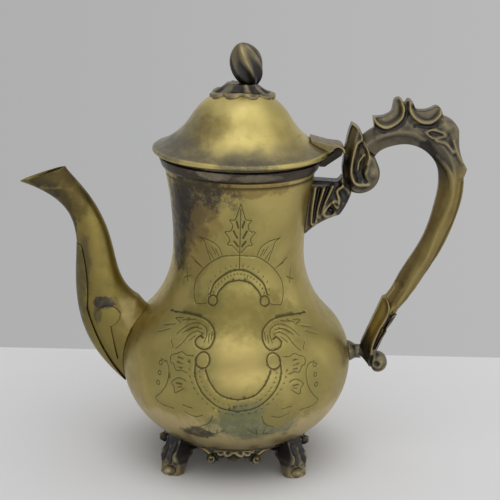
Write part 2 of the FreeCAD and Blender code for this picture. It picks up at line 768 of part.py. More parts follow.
def make_handle_grip():
    body = new_body("handle_grip")
    sections = []
    for share in (1, 0.8, 0.6, 0.4, 0.2, 0):
        angle = f"(grip_start_angle * {share})"
        sections.append(grip_section(body, grip_polar(angle, "grip_bend"), angle,
                                     "grip_top_depth", "grip_top_width"))
    lower_x = "(grip_bend_x + grip_bend - grip_lower_bend)"
    for share in (0.35, 0.7, 1):
        angle = f"(grip_lower_sweep * {share})"
        depth = between("grip_top_depth", "grip_end_depth", f"(grip_taper * {share})")
        width = between("grip_top_width", "grip_end_width", f"(grip_taper * {share})")
        centre = (f"{lower_x} + grip_lower_bend * cos({angle})",
                  f"grip_bend_height - grip_lower_bend * sin({angle})")
        sections.append(grip_section(body, centre, f"360 - {angle}", depth, width))
    for share in (0.5, 1):
        along = f"(grip_tail * {share})"
        depth = between("grip_top_depth", "grip_end_depth", f"(grip_taper + (1 - grip_taper) * {share})")
        width = between("grip_top_width", "grip_end_width", f"(grip_taper + (1 - grip_taper) * {share})")
        centre = (f"{lower_x} + grip_lower_bend * cos(grip_lower_sweep) - {along} * sin(grip_lower_sweep)",
                  f"grip_bend_height - grip_lower_bend * sin(grip_lower_sweep)"
                  f" - {along} * cos(grip_lower_sweep)")
        sections.append(grip_section(body, centre, "360 - grip_lower_sweep", depth, width))
    loft = body.newObject("PartDesign::AdditiveLoft", "handle_grip_loft")
    loft.Profile = sections[0]
    loft.Sections = sections[1:]
    doc.recompute()

    def rise(angle, share):
        return grip_polar(str(angle), f"grip_bend + grip_top_depth / 2 + crest_height * {share}")

    core = "grip_bend"
    pad(body, outline(sketch_on(body, "XZ_Plane"), [
        grip_polar("121", core),
        rise(119.5, 0.05),
        (*rise(117, 0.48), "crest_height * 0.95", "right"),
        rise(101.5, 0.42),
        (*rise(98.8, 0.9), "crest_height * 0.22", "left"),
        rise(93.2, 0.92),
        rise(91.6, 0.66),
        (*rise(89.8, 0.9), "crest_height * 0.2", "left"),
        rise(86.4, 0.88),
        (*rise(82.5, 0.5), "crest_height", "right"),
        (*rise(69.5, 0.88), "crest_height * 0.25", "left"),
        rise(64.5, 0.84),
        (*rise(60.5, 0.62), "crest_height * 0.9", "left"),
        rise(45, 0.6),
        (*rise(35, 0.2), "crest_height * 2.5", "right"),
        rise(12.3, 0.16),
        rise(5, -0.02),
        (*grip_polar("3", core), core, "right"),
    ]), "crest_width")
    return node(body, "handle_grip")


def scroll_seat():
    """The two ends of the flat where the top scroll sits on the neck bracket."""
    return ("scroll_seat_x", "scroll_seat_height"), ("scroll_heel_x", "scroll_heel_height")


def make_handle_scroll():
    body = new_body("handle_scroll")
    seat, heel = scroll_seat()
    shape = pad(body, outline(sketch_on(body, "XZ_Plane"), [
        ("scroll_horn_x", "scroll_horn_height", "scroll_back_bend", "right"),
        seat,
        (*heel, "scroll_curl_bend", "right"),
        ("scroll_curl_x", "scroll_curl_height"),
        grip_polar("grip_start_angle", "grip_bend - grip_top_depth / 2"),
        grip_polar("grip_start_angle", "grip_bend + grip_top_depth / 2"),
        ("scroll_horn_x + scroll_horn", "scroll_horn_height - scroll_horn / 2"),
    ]), "scroll_width")
    bevel(body, shape, "scroll_bevel")
    for far in (False, True):
        face = "-scroll_width / 2" if far else "scroll_width / 2"
        recess = outline(sketch_on(body, "XZ_Plane", ("0", "0", face)), [
            (f"grip_bend_x - recess_{corner}_reach", f"recess_{corner}_height", "recess_bend", "left")
            for corner in ("top", "bow", "foot", "back")
        ])
        pocket(body, recess, "recess_depth", both=False, reverse=far)
    drop(body, "scroll_boss_radius", "scroll_boss_width / 2",
         ("grip_bend_x - scroll_boss_reach", "0", "scroll_boss_height"))
    return node(body, "handle_scroll")


def make_handle_bracket():
    body = new_body("handle_bracket")
    seat, heel = scroll_seat()
    shape = pad(body, outline(sketch_on(body, "XZ_Plane"), [
        seat,
        ("scroll_seat_x - bracket_lip", "scroll_seat_height - bracket_lip_drop"),
        ("waist_radius", "bracket_top"),
        ("waist_radius - 4 * wall", "bracket_top"),
        ("waist_radius - 4 * wall", "bracket_bottom"),
        ("waist_radius + bracket_toe", "bracket_bottom", "bracket_bend", "left"),
        ("bracket_knee_x", "bracket_knee_height", "bracket_bend", "right"),
        heel,
    ]), "bracket_width")
    bevel(body, shape, "bracket_bevel")
    seat_on_body(body)
    return node(body, "handle_bracket")


def make_handle_sheath(grip):
    body = new_body("handle_sheath_casting")
    leaf = pad(body, outline(sketch_on(body, "XZ_Plane"), [
        ("curl_x + sheath_tip_x", "curl_height + sheath_tip_rise", "sheath_tip_bend", "left"),
        ("curl_x + sheath_notch_x", "curl_height + sheath_notch_rise"),
        ("curl_x + sheath_frond_x", "curl_height + sheath_frond_rise", "sheath_frond_bend", "right"),
        ("curl_x + sheath_fork_x", "curl_height + sheath_fork_rise"),
        ("curl_x + sheath_barb_x", "curl_height + sheath_barb_rise", "sheath_barb_bend", "right"),
        ("curl_x - sheath_neck_x", "curl_height + sheath_neck_rise"),
        ("curl_x", "curl_height"),
        ("curl_x - sheath_chin_x", "curl_height - sheath_chin_drop"),
        ("curl_x - sheath_back_x", "curl_height + sheath_back_rise"),
        ("curl_x - sheath_hip_x", "curl_height + sheath_hip_rise"),
    ]), "sheath_width")
    bevel(body, leaf, "sheath_bevel")
    drop(body, "curl_radius", "curl_width / 2", ("curl_x", "0", "curl_height"))
    return node(boolean("Cut", "handle_sheath", body, grip), "handle_sheath")


def make_handle_stub(sheath):
    body = new_body("handle_stub_turning")
    inside = "(belly_radius - stub_root_radius)"
    turning = outline(sketch_on(body, "XZ_Plane", ("0", "stub_height", "0")), [
        (inside, "0"),
        ("stub_end_x", "0"),
        ("stub_end_x", "stub_radius"),
        ("belly_radius + stub_length", "stub_radius", "stub_bend", "right"),
        ("belly_radius - wall", "stub_root_radius"),
        (inside, "stub_root_radius"),
    ])
    revolve(body, turning, axis="H_Axis")
    seat_on_body(body)
    return node(boolean("Cut", "handle_stub", body, sheath), "handle_stub")


# Hinge

def make_hinge_bracket(vessel, rim):
    body = new_body("hinge_bracket_casting")
    pad(body, outline(sketch_on(body, "XZ_Plane"), [
        ("mouth_radius", "mouth_height - hinge_strap_drop"),
        ("mouth_radius + rim_thickness + hinge_strap", "mouth_height - hinge_strap_drop"),
        ("hinge_x + knuckle_radius * strap_shoulder", "hinge_height - knuckle_radius * strap_shoulder"),
        ("hinge_x - knuckle_radius * strap_tuck", "hinge_height"),
        ("mouth_radius + rim_thickness / 2", "mouth_height - rim_thickness"),
        ("mouth_radius", "mouth_height - rim_thickness"),
    ]), "hinge_width")
    knuckle = circle(sketch_on(body, "XZ_Plane"), "hinge_x", "hinge_height", "knuckle_radius")
    pad(body, knuckle, "hinge_width")
    slot = circle(sketch_on(body, "XZ_Plane"), "hinge_x", "hinge_height",
                  "knuckle_radius + 2 * hinge_clearance")
    pocket(body, slot, "knuckle_length + 2 * knuckle_gap")
    bore = circle(sketch_on(body, "XZ_Plane"), "hinge_x", "hinge_height", "pin_radius")
    pocket(body, bore, "2 * hinge_width")
    clear = boolean("Cut", "hinge_bracket_clear", body, vessel)
    return node(boolean("Cut", "hinge_bracket", clear, rim), "hinge_bracket")


def make_hinge_pin():
    body = new_body("hinge_pin")
    half = "(hinge_width / 2)"
    turning = outline(sketch_on(body, "YZ_Plane", ("0", "hinge_height", "hinge_x")), [
        (f"-{half} - pin_head_length", "0"),
        (f"{half} + pin_head_length", "0"),
        (f"{half} + pin_head_length", "pin_head_radius"),
        (half, "pin_head_radius"),
        (half, "pin_radius"),
        (f"-{half}", "pin_radius"),
        (f"-{half}", "pin_head_radius"),
        (f"-{half} - pin_head_length", "pin_head_radius"),
    ])
    revolve(body, turning, axis="H_Axis")
    return node(body, "hinge_pin")


# Lid

edge_drop = "(lid_edge_height - dome_height)"
cove_bend = (
    f"((lid_radius^2 + {edge_drop}^2 - dome_bend^2)"
    f" / (2 * (dome_bend - lid_radius * sin(lid_edge_slope) - {edge_drop} * cos(lid_edge_slope))))"
)
cove_x = f"(lid_radius + {cove_bend} * sin(lid_edge_slope))"
cove_height = f"(lid_edge_height + {cove_bend} * cos(lid_edge_slope))"


def dome_top(inset):
    """Height of the flat crown, on the outside or inset into the wall."""
    return f"(dome_height + sqrt(dome_bend^2 - crown_radius^2) - {inset})"


def dome_turn(inset):
    """The point where the dome's arc turns into the cove."""
    share = f"((dome_bend - {inset}) / (dome_bend + {cove_bend}))"
    return f"{share} * {cove_x}", f"dome_height + {share} * ({cove_height} - dome_height)"


def cove(radius, inset):
    """Height of the cove at a radius."""
    return f"({cove_height} - sqrt(({cove_bend} + {inset})^2 - ({cove_x} - {radius})^2))"


def lid_outside():
    """The lid's outside from the crown down to the rolled edge."""
    return [
        ("crown_radius", dome_top("0"), "dome_bend", "left"),
        (*dome_turn("0"), cove_bend, "right"),
        ("lid_radius", "lid_edge_height"),
    ]


def make_lid_form():
    """The lid as if it were solid, which seats the hinge leaf."""
    body = new_body("lid_form")
    revolve(body, outline(sketch_on(body, "XZ_Plane"), [("0", dome_top("0"))] + lid_outside() + [
        ("lid_radius", "mouth_height"),
        ("0", "mouth_height"),
    ]))
    return body


def make_lid_shell():
    body = new_body("lid_shell")
    hole = "(stud_radius + stud_clearance)"
    tuck = "(lid_radius - lid_edge_roll * edge_tuck)"
    outside = lid_outside()
    outside[-1] = ("lid_radius", "lid_edge_height", "lid_edge_roll", "left")
    revolve(body, outline(sketch_on(body, "XZ_Plane"), [(hole, dome_top("0"))] + outside + [
        ("lid_radius - lid_edge_roll * edge_reach", "lid_edge_height - lid_edge_roll * edge_drop"),
        (tuck, cove(tuck, "wall"), f"{cove_bend} + wall", "left"),
        (*dome_turn("wall"), "dome_bend - wall", "right"),
        (f"sqrt((dome_bend - wall)^2 - ({dome_top('wall')} - dome_height)^2)", dome_top("wall")),
        (hole, dome_top("wall")),
    ]))
    return node(body, "lid_shell")


def make_lid_bezel():
    body = new_body("lid_bezel")
    seat = "(mouth_height + lid_seat_gap)"
    inner = "(bezel_radius - wall)"
    revolve(body, outline(sketch_on(body, "XZ_Plane"), [
        (inner, "mouth_height - bezel_depth"),
        ("bezel_radius", "mouth_height - bezel_depth"),
        ("bezel_radius", seat),
        ("bezel_radius + bezel_flange", seat),
        ("bezel_radius + bezel_flange", f"{seat} + wall"),
        ("bezel_radius", f"{seat} + wall"),
        ("bezel_radius", cove("bezel_radius", "wall"), f"{cove_bend} + wall", "left"),
        (inner, cove(inner, "wall")),
    ]))
    return node(body, "lid_bezel")


def make_lid_hinge_leaf(lid_form, lid_shell):
    body = new_body("lid_hinge_leaf_casting")
    around = "(knuckle_radius + hinge_clearance)"
    top = f"({around} + hinge_leaf)"
    start = "(lid_radius - hinge_leaf_reach)"
    leaf = outline(sketch_on(body, "XZ_Plane"), [
        (f"hinge_x + {top}", "hinge_height", top, "right"),
        ("hinge_x", f"hinge_height + {top}"),
        ("lid_radius", f"{cove('lid_radius', '0')} + hinge_leaf * 3"),
        (start, f"{cove(start, '0')} + hinge_leaf"),
        (start, f"{cove(start, '0')} - wall"),
        ("lid_radius", "lid_edge_height - wall"),
        (f"hinge_x - {around} * cos(lid_edge_slope)", f"hinge_height + {around} * sin(lid_edge_slope)",
         around, "left"),
        ("hinge_x", f"hinge_height + {around}", around, "left"),
        (f"hinge_x + {around}", "hinge_height"),
    ])
    pad(body, leaf, "hinge_width")
    hub = circle(sketch_on(body, "XZ_Plane"), "hinge_x", "hinge_height", f"{around} + hinge_leaf / 4")
    pad(body, hub, "knuckle_length")
    bore = circle(sketch_on(body, "XZ_Plane"), "hinge_x", "hinge_height", "pin_radius + pin_clearance")
    pocket(body, bore, "2 * hinge_width")
    on_form = boolean("Cut", "lid_hinge_leaf_on_form", body, lid_form)
    return node(boolean("Cut", "lid_hinge_leaf", on_form, lid_shell), "lid_hinge_leaf")


# Finial

def make_finial_calyx():
    body = new_body("finial_calyx")
    skirt = "sqrt(dome_bend^2 - (calyx_radius - calyx_lip)^2)"
    revolve(body, outline(sketch_on(body, "XZ_Plane"), [
        ("stud_radius", dome_top("0")),
        ("crown_radius", dome_top("0"), "dome_bend", "left"),
        ("calyx_radius - calyx_lip", f"dome_height + {skirt}"),
        ("calyx_radius", f"dome_height + {skirt} + calyx_edge", "calyx_bend", "left"),
        ("calyx_top_radius", "calyx_height"),
        ("stud_radius", "calyx_height"),
    ]))
    # leaves round an oval, longer toward the spout and the handle
    rosette = sketch_on(body, "XY_Plane", ("0", "0", "calyx_height"))
    circle(rosette, "0", "0", "2 * calyx_radius")
    corners = []
    for leaf in range(sizes["calyx_leaves"]):
        angle = f"(360 * ({leaf} + 0.5) / calyx_leaves)"
        corners.append((f"calyx_radius * calyx_cleft * cos({angle})",
                        f"calyx_half_width * calyx_cleft * sin({angle})",
                        "calyx_half_width * calyx_lobe_bend", "right"))
    outline(rosette, corners)
    pocket(body, rosette, "2 * calyx_radius")
    return node(body, "finial_calyx")


def make_finial_bud(stud):
    body = new_body("finial_bud_casting")
    sections = []
    for share in (-0.08, 0.08, 0.3, 0.5, 0.7, 0.85, 0.95, 1):
        radius = f"(bud_radius * sqrt(1 - ((bud_widest - {share}) / bud_spread)^2))"
        sketch = sketch_on(body, "XY_Plane", ("0", "0", f"bud_height * {share}"))
        corners = []
        for lobe in range(sizes["bud_lobes"]):
            angle = f"(360 * ({lobe} + bud_lobe_start) / bud_lobes + bud_twist * {share})"
            corners.append((f"{radius} * bud_flute * cos({angle})", f"{radius} * bud_flute * sin({angle})",
                            f"{radius} * bud_lobe_bend", "right"))
        sections.append(outline(sketch, corners))
    loft = body.newObject("PartDesign::AdditiveLoft", "finial_bud_loft")
    loft.Profile = sections[0]
    loft.Sections = sections[1:]
    body.Placement = FreeCAD.Placement(
        FreeCAD.Vector(), FreeCAD.Rotation(FreeCAD.Vector(0, -1, 0), 1))
    bind(body, Placement__Base__x="bud_offset", Placement__Base__z="calyx_height",
         Placement__Rotation__Angle="bud_lean")
    doc.recompute()
    below = doc.addObject("Part::Box", "finial_bud_seat")
    bind(below, Length="4 * bud_radius", Width="4 * bud_radius", Height="bud_height",
         Placement__Base__x="-2 * bud_radius", Placement__Base__y="-2 * bud_radius",
         Placement__Base__z="calyx_height - bud_height")
    flat = boolean("Cut", "finial_bud_flat", body, below)
    return node(boolean("Cut", "finial_bud", flat, stud), "finial_bud")


def make_finial_fastening():
    crown = dome_top("wall")
    washer_seat = f"({crown} - washer_thickness)"
    nut_seat = f"({washer_seat} - nut_height)"
    stud = doc.addObject("Part::Cylinder", "finial_stud")
    bind(stud, Radius="stud_radius", Placement__Base__z=f"{nut_seat} - stud_overhang",
         Height=f"calyx_height + stud_grip - {nut_seat} + stud_overhang")
    node(stud, "finial_stud")
    washer = new_body("finial_washer")
    face = sketch_on(washer, "XY_Plane", ("0", "0", f"{crown} - washer_thickness / 2"))
    circle(face, "0", "0", "washer_radius")
    circle(face, "0", "0", "stud_radius")
    pad(washer, face, "washer_thickness")
    node(washer, "finial_washer")
    nut = new_body("finial_nut")
    face = sketch_on(nut, "XY_Plane", ("0", "0", f"{washer_seat} - nut_height / 2"))
    corner = "(nut_flats / 2 / cos(30))"
    outline(face, [(f"{corner} * cos({angle})", f"{corner} * sin({angle})") for angle in range(15, 375, 60)])
    circle(face, "0", "0", "stud_radius")
    pad(nut, face, "nut_height")
    node(nut, "finial_nut")
    return stud


vessel = new_body("vessel_form")
revolve(vessel, outline(sketch_on(vessel, "XZ_Plane"), body_form()))
make_body_shell()
make_bottom_plate()
mouth_rim = make_mouth_rim()
foot_names = ("foot_handle_rear", "foot_spout_rear", "foot_spout_front", "foot_handle_front")
feet = [make_foot(name, 45 + 90 * index) for index, name in enumerate(foot_names)]
apron_names = ("apron_rear", "apron_spout", "apron_front", "apron_handle")
for index, name in enumerate(apron_names):
    make_apron(name, 90 + 90 * index, (feet[index], feet[(index + 1) % 4]))
make_spout(vessel)
handle_grip = make_handle_grip()
make_handle_scroll()
make_handle_bracket()
handle_sheath = make_handle_sheath(handle_grip)
make_handle_stub(handle_sheath)
make_hinge_bracket(vessel, mouth_rim)
make_hinge_pin()
lid_form = make_lid_form()
lid_shell = make_lid_shell()
make_lid_bezel()
make_lid_hinge_leaf(lid_form, lid_shell)
make_finial_calyx()
finial_stud = make_finial_fastening()
make_finial_bud(finial_stud)

for item in doc.Objects:
    if "Invalid" in item.State or "Error" in item.State:
        raise RuntimeError(f"{item.Name} failed: {item.State}")
for item in nodes:
    if item.Shape.isNull() or not item.Shape.isValid():
        raise RuntimeError(f"{item.Label} has no valid shape")
os.makedirs("parts", exist_ok=True)
for item in nodes:
    item.Shape.exportStep(f"parts/{item.Label}.step")
    print(item.Label, len(item.Shape.Solids), round(item.Shape.Volume, 1))
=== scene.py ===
import json
import math

import bmesh
import bpy
import numpy as np
from mathutils import Euler, Matrix, Vector, kdtree

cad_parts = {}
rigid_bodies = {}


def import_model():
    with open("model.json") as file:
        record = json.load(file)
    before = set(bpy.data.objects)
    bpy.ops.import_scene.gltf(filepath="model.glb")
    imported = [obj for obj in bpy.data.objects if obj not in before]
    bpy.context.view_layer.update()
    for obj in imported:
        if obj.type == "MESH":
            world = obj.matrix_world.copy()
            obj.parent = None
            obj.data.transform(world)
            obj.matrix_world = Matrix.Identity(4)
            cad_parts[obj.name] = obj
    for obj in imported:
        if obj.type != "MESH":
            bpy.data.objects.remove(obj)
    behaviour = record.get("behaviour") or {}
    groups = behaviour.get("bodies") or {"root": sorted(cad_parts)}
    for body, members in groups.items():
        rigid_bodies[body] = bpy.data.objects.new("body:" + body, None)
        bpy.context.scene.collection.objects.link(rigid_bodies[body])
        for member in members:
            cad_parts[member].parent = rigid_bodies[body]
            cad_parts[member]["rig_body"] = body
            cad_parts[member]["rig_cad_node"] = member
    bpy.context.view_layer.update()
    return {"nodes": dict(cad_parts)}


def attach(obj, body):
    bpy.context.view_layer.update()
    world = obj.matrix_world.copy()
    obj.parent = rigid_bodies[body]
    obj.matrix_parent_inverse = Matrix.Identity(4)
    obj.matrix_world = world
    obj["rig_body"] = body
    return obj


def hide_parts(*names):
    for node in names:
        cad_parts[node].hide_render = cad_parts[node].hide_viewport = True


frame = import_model()
mm = 0.001  # the dictionaries below are in millimetres and degrees


# tools shared by the pieces

castings = {"voxel": 0.4, "fineVoxel": 0.3, "softening": 9, "wearReach": 16, "wearHeight": 0.6, "strokeWidth": 1.25,
            "strokeRise": 1.15, "strokeShine": 0.36, "thinnest": 0.6}


def setMode(mode):
    bpy.ops.object.mode_set(mode=mode)


def clearSelection():
    if bpy.context.object and bpy.context.object.mode == "EDIT":
        setMode("OBJECT")
    bpy.ops.object.select_all(action="DESELECT")


def pickOnly(piece):
    clearSelection()
    piece.select_set(True)
    bpy.context.view_layer.objects.active = piece


def takeName(piece, name):
    piece.name = name
    piece.data.name = name
    return piece


def pieceName(nodeName):
    # handle_grip becomes handleGrip
    first, *others = nodeName.split("_")
    return first + "".join(word.title() for word in others)


def finishPiece(piece, body, material, node):
    piece.data.materials.clear()
    piece.data.materials.append(material)
    pickOnly(piece)
    bpy.ops.object.shade_smooth()
    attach(piece, body)
    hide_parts(node)
    print("made", piece.name, "from", len(piece.data.polygons), "faces")


def ringSheet(name, rings, closing):
    # a circle is extruded once for each ring, and every new loop is moved on to its ring
    clearSelection()
    bpy.ops.mesh.primitive_circle_add(vertices=len(rings[0]), radius=10 * mm)
    piece = takeName(bpy.context.object, name)
    setMode("EDIT")
    mesh = bmesh.from_edit_mesh(piece.data)
    mesh.verts.ensure_lookup_table()
    loop = list(mesh.verts)
    for corner, point in zip(loop, rings[0]):
        corner.co = Vector(point) * mm
    for ring in rings[1:]:
        bmesh.update_edit_mesh(piece.data)
        places = {tuple(corner.co): index for index, corner in enumerate(loop)}
        bpy.ops.mesh.extrude_edges_move(TRANSFORM_OT_translate={"value": (0, 0, 0)})
        mesh = bmesh.from_edit_mesh(piece.data)
        fresh = {places[tuple(corner.co)]: corner for corner in mesh.verts if corner.select}
        loop = [fresh[index] for index in range(len(ring))]
        for corner, point in zip(loop, ring):
            corner.co = Vector(point) * mm
    bmesh.update_edit_mesh(piece.data)
    bpy.ops.mesh.select_all(action="SELECT")
    if closing == "merge":
        bpy.ops.mesh.remove_doubles(threshold=0.0005 * mm)
    else:
        bpy.ops.mesh.fill_holes(sides=0)
    bpy.ops.mesh.select_all(action="SELECT")
    bpy.ops.mesh.normals_make_consistent(inside=False)
    setMode("OBJECT")
    return piece


def turnedRings(profile, steps):
    angles = [2 * math.pi * index / steps for index in range(steps)]
    return [[(r * math.cos(a), r * math.sin(a), z) for a in angles] for r, z in profile]


def arcPoints(centre, radius, start, end, spacing):
    count = max(2, int(abs(math.radians(end - start)) * radius / spacing))
    turns = [math.radians(start + (end - start) * index / count) for index in range(count + 1)]
    return [(centre[0] + radius * math.cos(t), centre[1] + radius * math.sin(t)) for t in turns]


def smoothLine(points, step):
    # a soft line drawn through a few marks
    marks = np.array(points, float)
    marks = np.vstack([2 * marks[0] - marks[1], marks, 2 * marks[-1] - marks[-2]])
    runs = []
    for a, b, c, d in zip(marks, marks[1:], marks[2:], marks[3:]):
        t = np.linspace(0, 1, max(3, int(np.linalg.norm(c - b) / step)), endpoint=False)[:, None]
        runs.append(b + 0.5 * t * ((c - a) + t * ((2 * a - 5 * b + 4 * c - d) + t * (3 * b - a - 3 * c + d))))
    return np.vstack(runs + [marks[-2:-1]])


def ramp(values, start, end):
    # 0 up to the start, 1 from the end on
    return np.clip((values - start) / (end - start), 0, 1)


def hill(values, middle, reach):
    # 1 at the middle, 0 from the reach on
    return np.clip(1 - ((values - middle) / reach) ** 2, 0, 1)


def readPoints(piece):
    points = np.empty(len(piece.data.vertices) * 3)
    piece.data.vertices.foreach_get("co", points)
    return points.reshape(-1, 3) / mm


def readNormals(piece):
    normals = np.empty(len(piece.data.vertices) * 3)
    piece.data.vertices.foreach_get("normal", normals)
    return normals.reshape(-1, 3)


def writePoints(piece, points, passes=0):
    piece.data.vertices.foreach_set("co", (evenOut(piece, points, passes) * mm).ravel())
    piece.data.update()


def writeMark(piece, name, values):
    mark = piece.data.attributes.get(name) or piece.data.attributes.new(name, "FLOAT", "POINT")
    mark.data.foreach_set("value", np.clip(values, 0, 1).astype(np.float32))


def readMark(piece, name):
    values = np.zeros(len(piece.data.vertices), np.float32)
    piece.data.attributes[name].data.foreach_get("value", values)
    return values.astype(float)


def lineTree(lines):
    tree = kdtree.KDTree(sum(len(line) for line, _, _ in lines))
    sizes = []
    for line, width, depth in lines:
        for point in line:
            tree.insert(Vector(point), len(sizes))
            sizes.append((width, depth))
    tree.balance()
    return tree, sizes


def gapsTo(lines, points):
    tree, _ = lineTree(lines)
    return np.array([tree.find(Vector(point))[2] for point in points])


def cutLines(flat, lines):
    # how deep each flat place is cut by the nearest line: a line is (points, half width, depth)
    tree, sizes = lineTree(lines)
    cuts = np.zeros(len(flat))
    for index, place in enumerate(flat):
        _, nearest, distance = tree.find(Vector(place))
        width, depth = sizes[nearest]
        if distance < width:
            cuts[index] = depth * (1 - (distance / width) ** 2) ** 2
    return cuts


def evenOut(piece, values, passes):
    # averages values or points with their neighbours along the edges
    edges = np.empty(len(piece.data.edges) * 2, np.int64)
    piece.data.edges.foreach_get("vertices", edges)
    a, b = edges.reshape(-1, 2).T
    count = len(piece.data.vertices)
    share = np.maximum(np.bincount(a, minlength=count) + np.bincount(b, minlength=count), 1)
    columns = values.reshape(count, -1).copy()
    for _ in range(passes):
        for column in range(columns.shape[1]):
            old = columns[:, column]
            total = np.bincount(a, old[b], count) + np.bincount(b, old[a], count)
            columns[:, column] = 0.5 * old + 0.5 * total / share
    return columns.reshape(values.shape)


def proudOf(piece, passes):
    # how far each point stands above its evened-out surroundings
    points = readPoints(piece)
    return np.einsum("ij,ij->i", points - evenOut(piece, points, passes), readNormals(piece))


def markWearAndPaintedLight(piece, shine, height=castings["wearHeight"], passes=castings["wearReach"]):
    # high places are rubbed bright, low places stay dark; the shine passed in is added to this, and carries the
    # strokes' painted highlights and shade as well as wear
    proud = evenOut(piece, proudOf(piece, passes), 2)
    writeMark(piece, "wear", 0.5 + 0.5 * proud / height + shine)


def copyOfCad(nodeName, name=None):
    pickOnly(frame["nodes"][nodeName])
    bpy.ops.object.duplicate()
    piece = takeName(bpy.context.object, name or pieceName(nodeName))
    piece.parent = None
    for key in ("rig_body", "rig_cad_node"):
        if key in piece:
            del piece[key]
    bpy.ops.mesh.customdata_custom_splitnormals_clear()
    setMode("EDIT")
    bpy.ops.mesh.select_all(action="SELECT")
    bpy.ops.mesh.remove_doubles(threshold=0.002 * mm)
    setMode("OBJECT")
    return piece


def slab(name, outline, halfWidth, bevel=0.8):
    # a flat plate on its edge: an outline across and up, closed by a fan on both faces
    loop = smoothLine(outline + outline[:1], 0.8)[:-1]
    middle = loop.mean(0)
    rings = []
    for share, y in ((0.02, -halfWidth), (0.9, -halfWidth), (1, bevel - halfWidth), (1, halfWidth - bevel),
                     (0.9, halfWidth), (0.02, halfWidth)):
        rings.append([(x, y, z) for x, z in middle + (loop - middle) * share])
    return ringSheet(name, rings, "fill")


def joinTo(piece, *others):
    pickOnly(piece)
    for other in others:
        other.select_set(True)
    bpy.ops.object.join()


def castSkin(piece, voxel=castings["voxel"], softening=castings["softening"]):
    # one closed skin with softened corners, as a sand casting has
    pickOnly(piece)
    piece.data.remesh_voxel_size = voxel * mm
    bpy.ops.object.voxel_remesh()
    soft = piece.modifiers.new("soften", "SMOOTH")
    soft.factor = 0.5
    soft.iterations = softening
    bpy.ops.object.modifier_apply(modifier=soft.name)
    return piece


def castCopy(nodeName, *form, name=None):
    return castSkin(copyOfCad(nodeName, name), *form)


def relief(piece, strokes, across, out, both):
    # strokes chased into the face that looks out, or into both faces: a rise below zero is a cut
    points, normals = readPoints(piece), readNormals(piece)
    across, out = np.array(across, float), np.array(out, float)
    flat = np.column_stack([points @ across, points[:, 2]])
    stand = points @ out
    side = np.where(stand < 0, -1, 1) if both else np.ones(len(points))
    facing = ramp((normals @ out) * side, 0.1, 0.45)
    lift, shine = np.zeros(len(points)), np.zeros(len(points))
    for marks, width, rise, bright in strokes:
        line = smoothLine(marks, 0.4)
        width = width * castings["strokeWidth"]
        near = ((flat > line.min(0) - width) & (flat < line.max(0) + width)).all(1)
        if near.any():
            gaps = (flat[near][:, None] - line[None]) ** 2
            bump = np.clip(1 - gaps.sum(2).min(1) / width ** 2, 0, 1) ** 2
            lift[near] += rise * bump * castings["strokeRise"]
            shine[near] += bright * bump * castings["strokeShine"]
    moved = stand + side * lift * facing
    if both:
        moved = side * np.maximum(np.abs(moved), np.minimum(np.abs(stand), castings["thinnest"]))
    writePoints(piece, points + (moved - stand)[:, None] * out, 2)
    return evenOut(piece, shine, 3)


# materials

def startMaterial(name):
    material = bpy.data.materials.new(name)
    material.use_nodes = True
    tree = material.node_tree
    tree.nodes.clear()
    out = tree.nodes.new("ShaderNodeOutputMaterial")
    shader = tree.nodes.new("ShaderNodeBsdfPrincipled")
    tree.links.new(shader.outputs["BSDF"], out.inputs["Surface"])
    place = tree.nodes.new("ShaderNodeTexCoord").outputs["Object"]
    return material, shader, place


def feed(socket, value):
    if isinstance(value, bpy.types.NodeSocket):
        socket.id_data.links.new(value, socket)
    else:
        socket.default_value = value


def newNode(beside, kind, inputs):
    # a node in the tree of the socket beside it
    node = beside.id_data.nodes.new("ShaderNode" + kind)
    for name, value in inputs.items():
        feed(node.inputs[name], value)
    return node


def noise(place, scale, detail=4, rough=0.55, twist=0):
    return newNode(place, "TexNoise", {"Vector": place, "Scale": scale, "Detail": detail, "Roughness": rough,
                                       "Distortion": twist}).outputs["Fac"]


def spread(value, low, high, toLow=0, toHigh=1):
    node = newNode(value, "MapRange", {"Value": value, "From Min": low, "From Max": high, "To Min": toLow,
                                       "To Max": toHigh})
    node.interpolation_type = "SMOOTHSTEP"
    return node.outputs["Result"]


def sums(kind, a, b, c=0):
    node = newNode(a, "Math", {0: a, 1: b, 2: c})
    node.operation = kind
    return node.outputs[0]


def times(a, b):
    return sums("MULTIPLY", a, b)


def blend(mask, a, b):
    node = newNode(mask, "Mix", {0: mask})
    node.data_type = "RGBA"
    for socket, colour in ((node.inputs[6], a), (node.inputs[7], b)):
        feed(socket, colour if isinstance(colour, bpy.types.NodeSocket) else (*colour, 1))
    return node.outputs[2]


def markOf(place, name):
    node = newNode(place, "Attribute", {})
    node.attribute_name = name
    return node.outputs["Fac"]


def blotch(place, centre, stretch, ragged, rough, soft):
    # a patch round a point, with its edge broken up by noise
    move = newNode(place, "Mapping", {"Vector": place, "Location": [value * mm for value in centre],
                                      "Scale": [value * mm for value in stretch]})
    move.vector_type = "TEXTURE"
    length = newNode(place, "VectorMath", {0: move.outputs["Vector"]})
    length.operation = "LENGTH"
    edge = sums("MULTIPLY_ADD", rough, -ragged, ragged / 2)
    return spread(sums("ADD", length.outputs["Value"], edge), 0.95 + soft, 0.95 - soft)


def finishMetal(shader, colour, roughness, height, distance, strength):
    bump = newNode(height, "Bump", {"Strength": strength, "Distance": distance * mm, "Height": height})
    for name, value in (("Base Color", colour), ("Metallic", 1), ("Roughness", roughness),
                        ("Normal", bump.outputs["Normal"])):
        feed(shader.inputs[name], value)


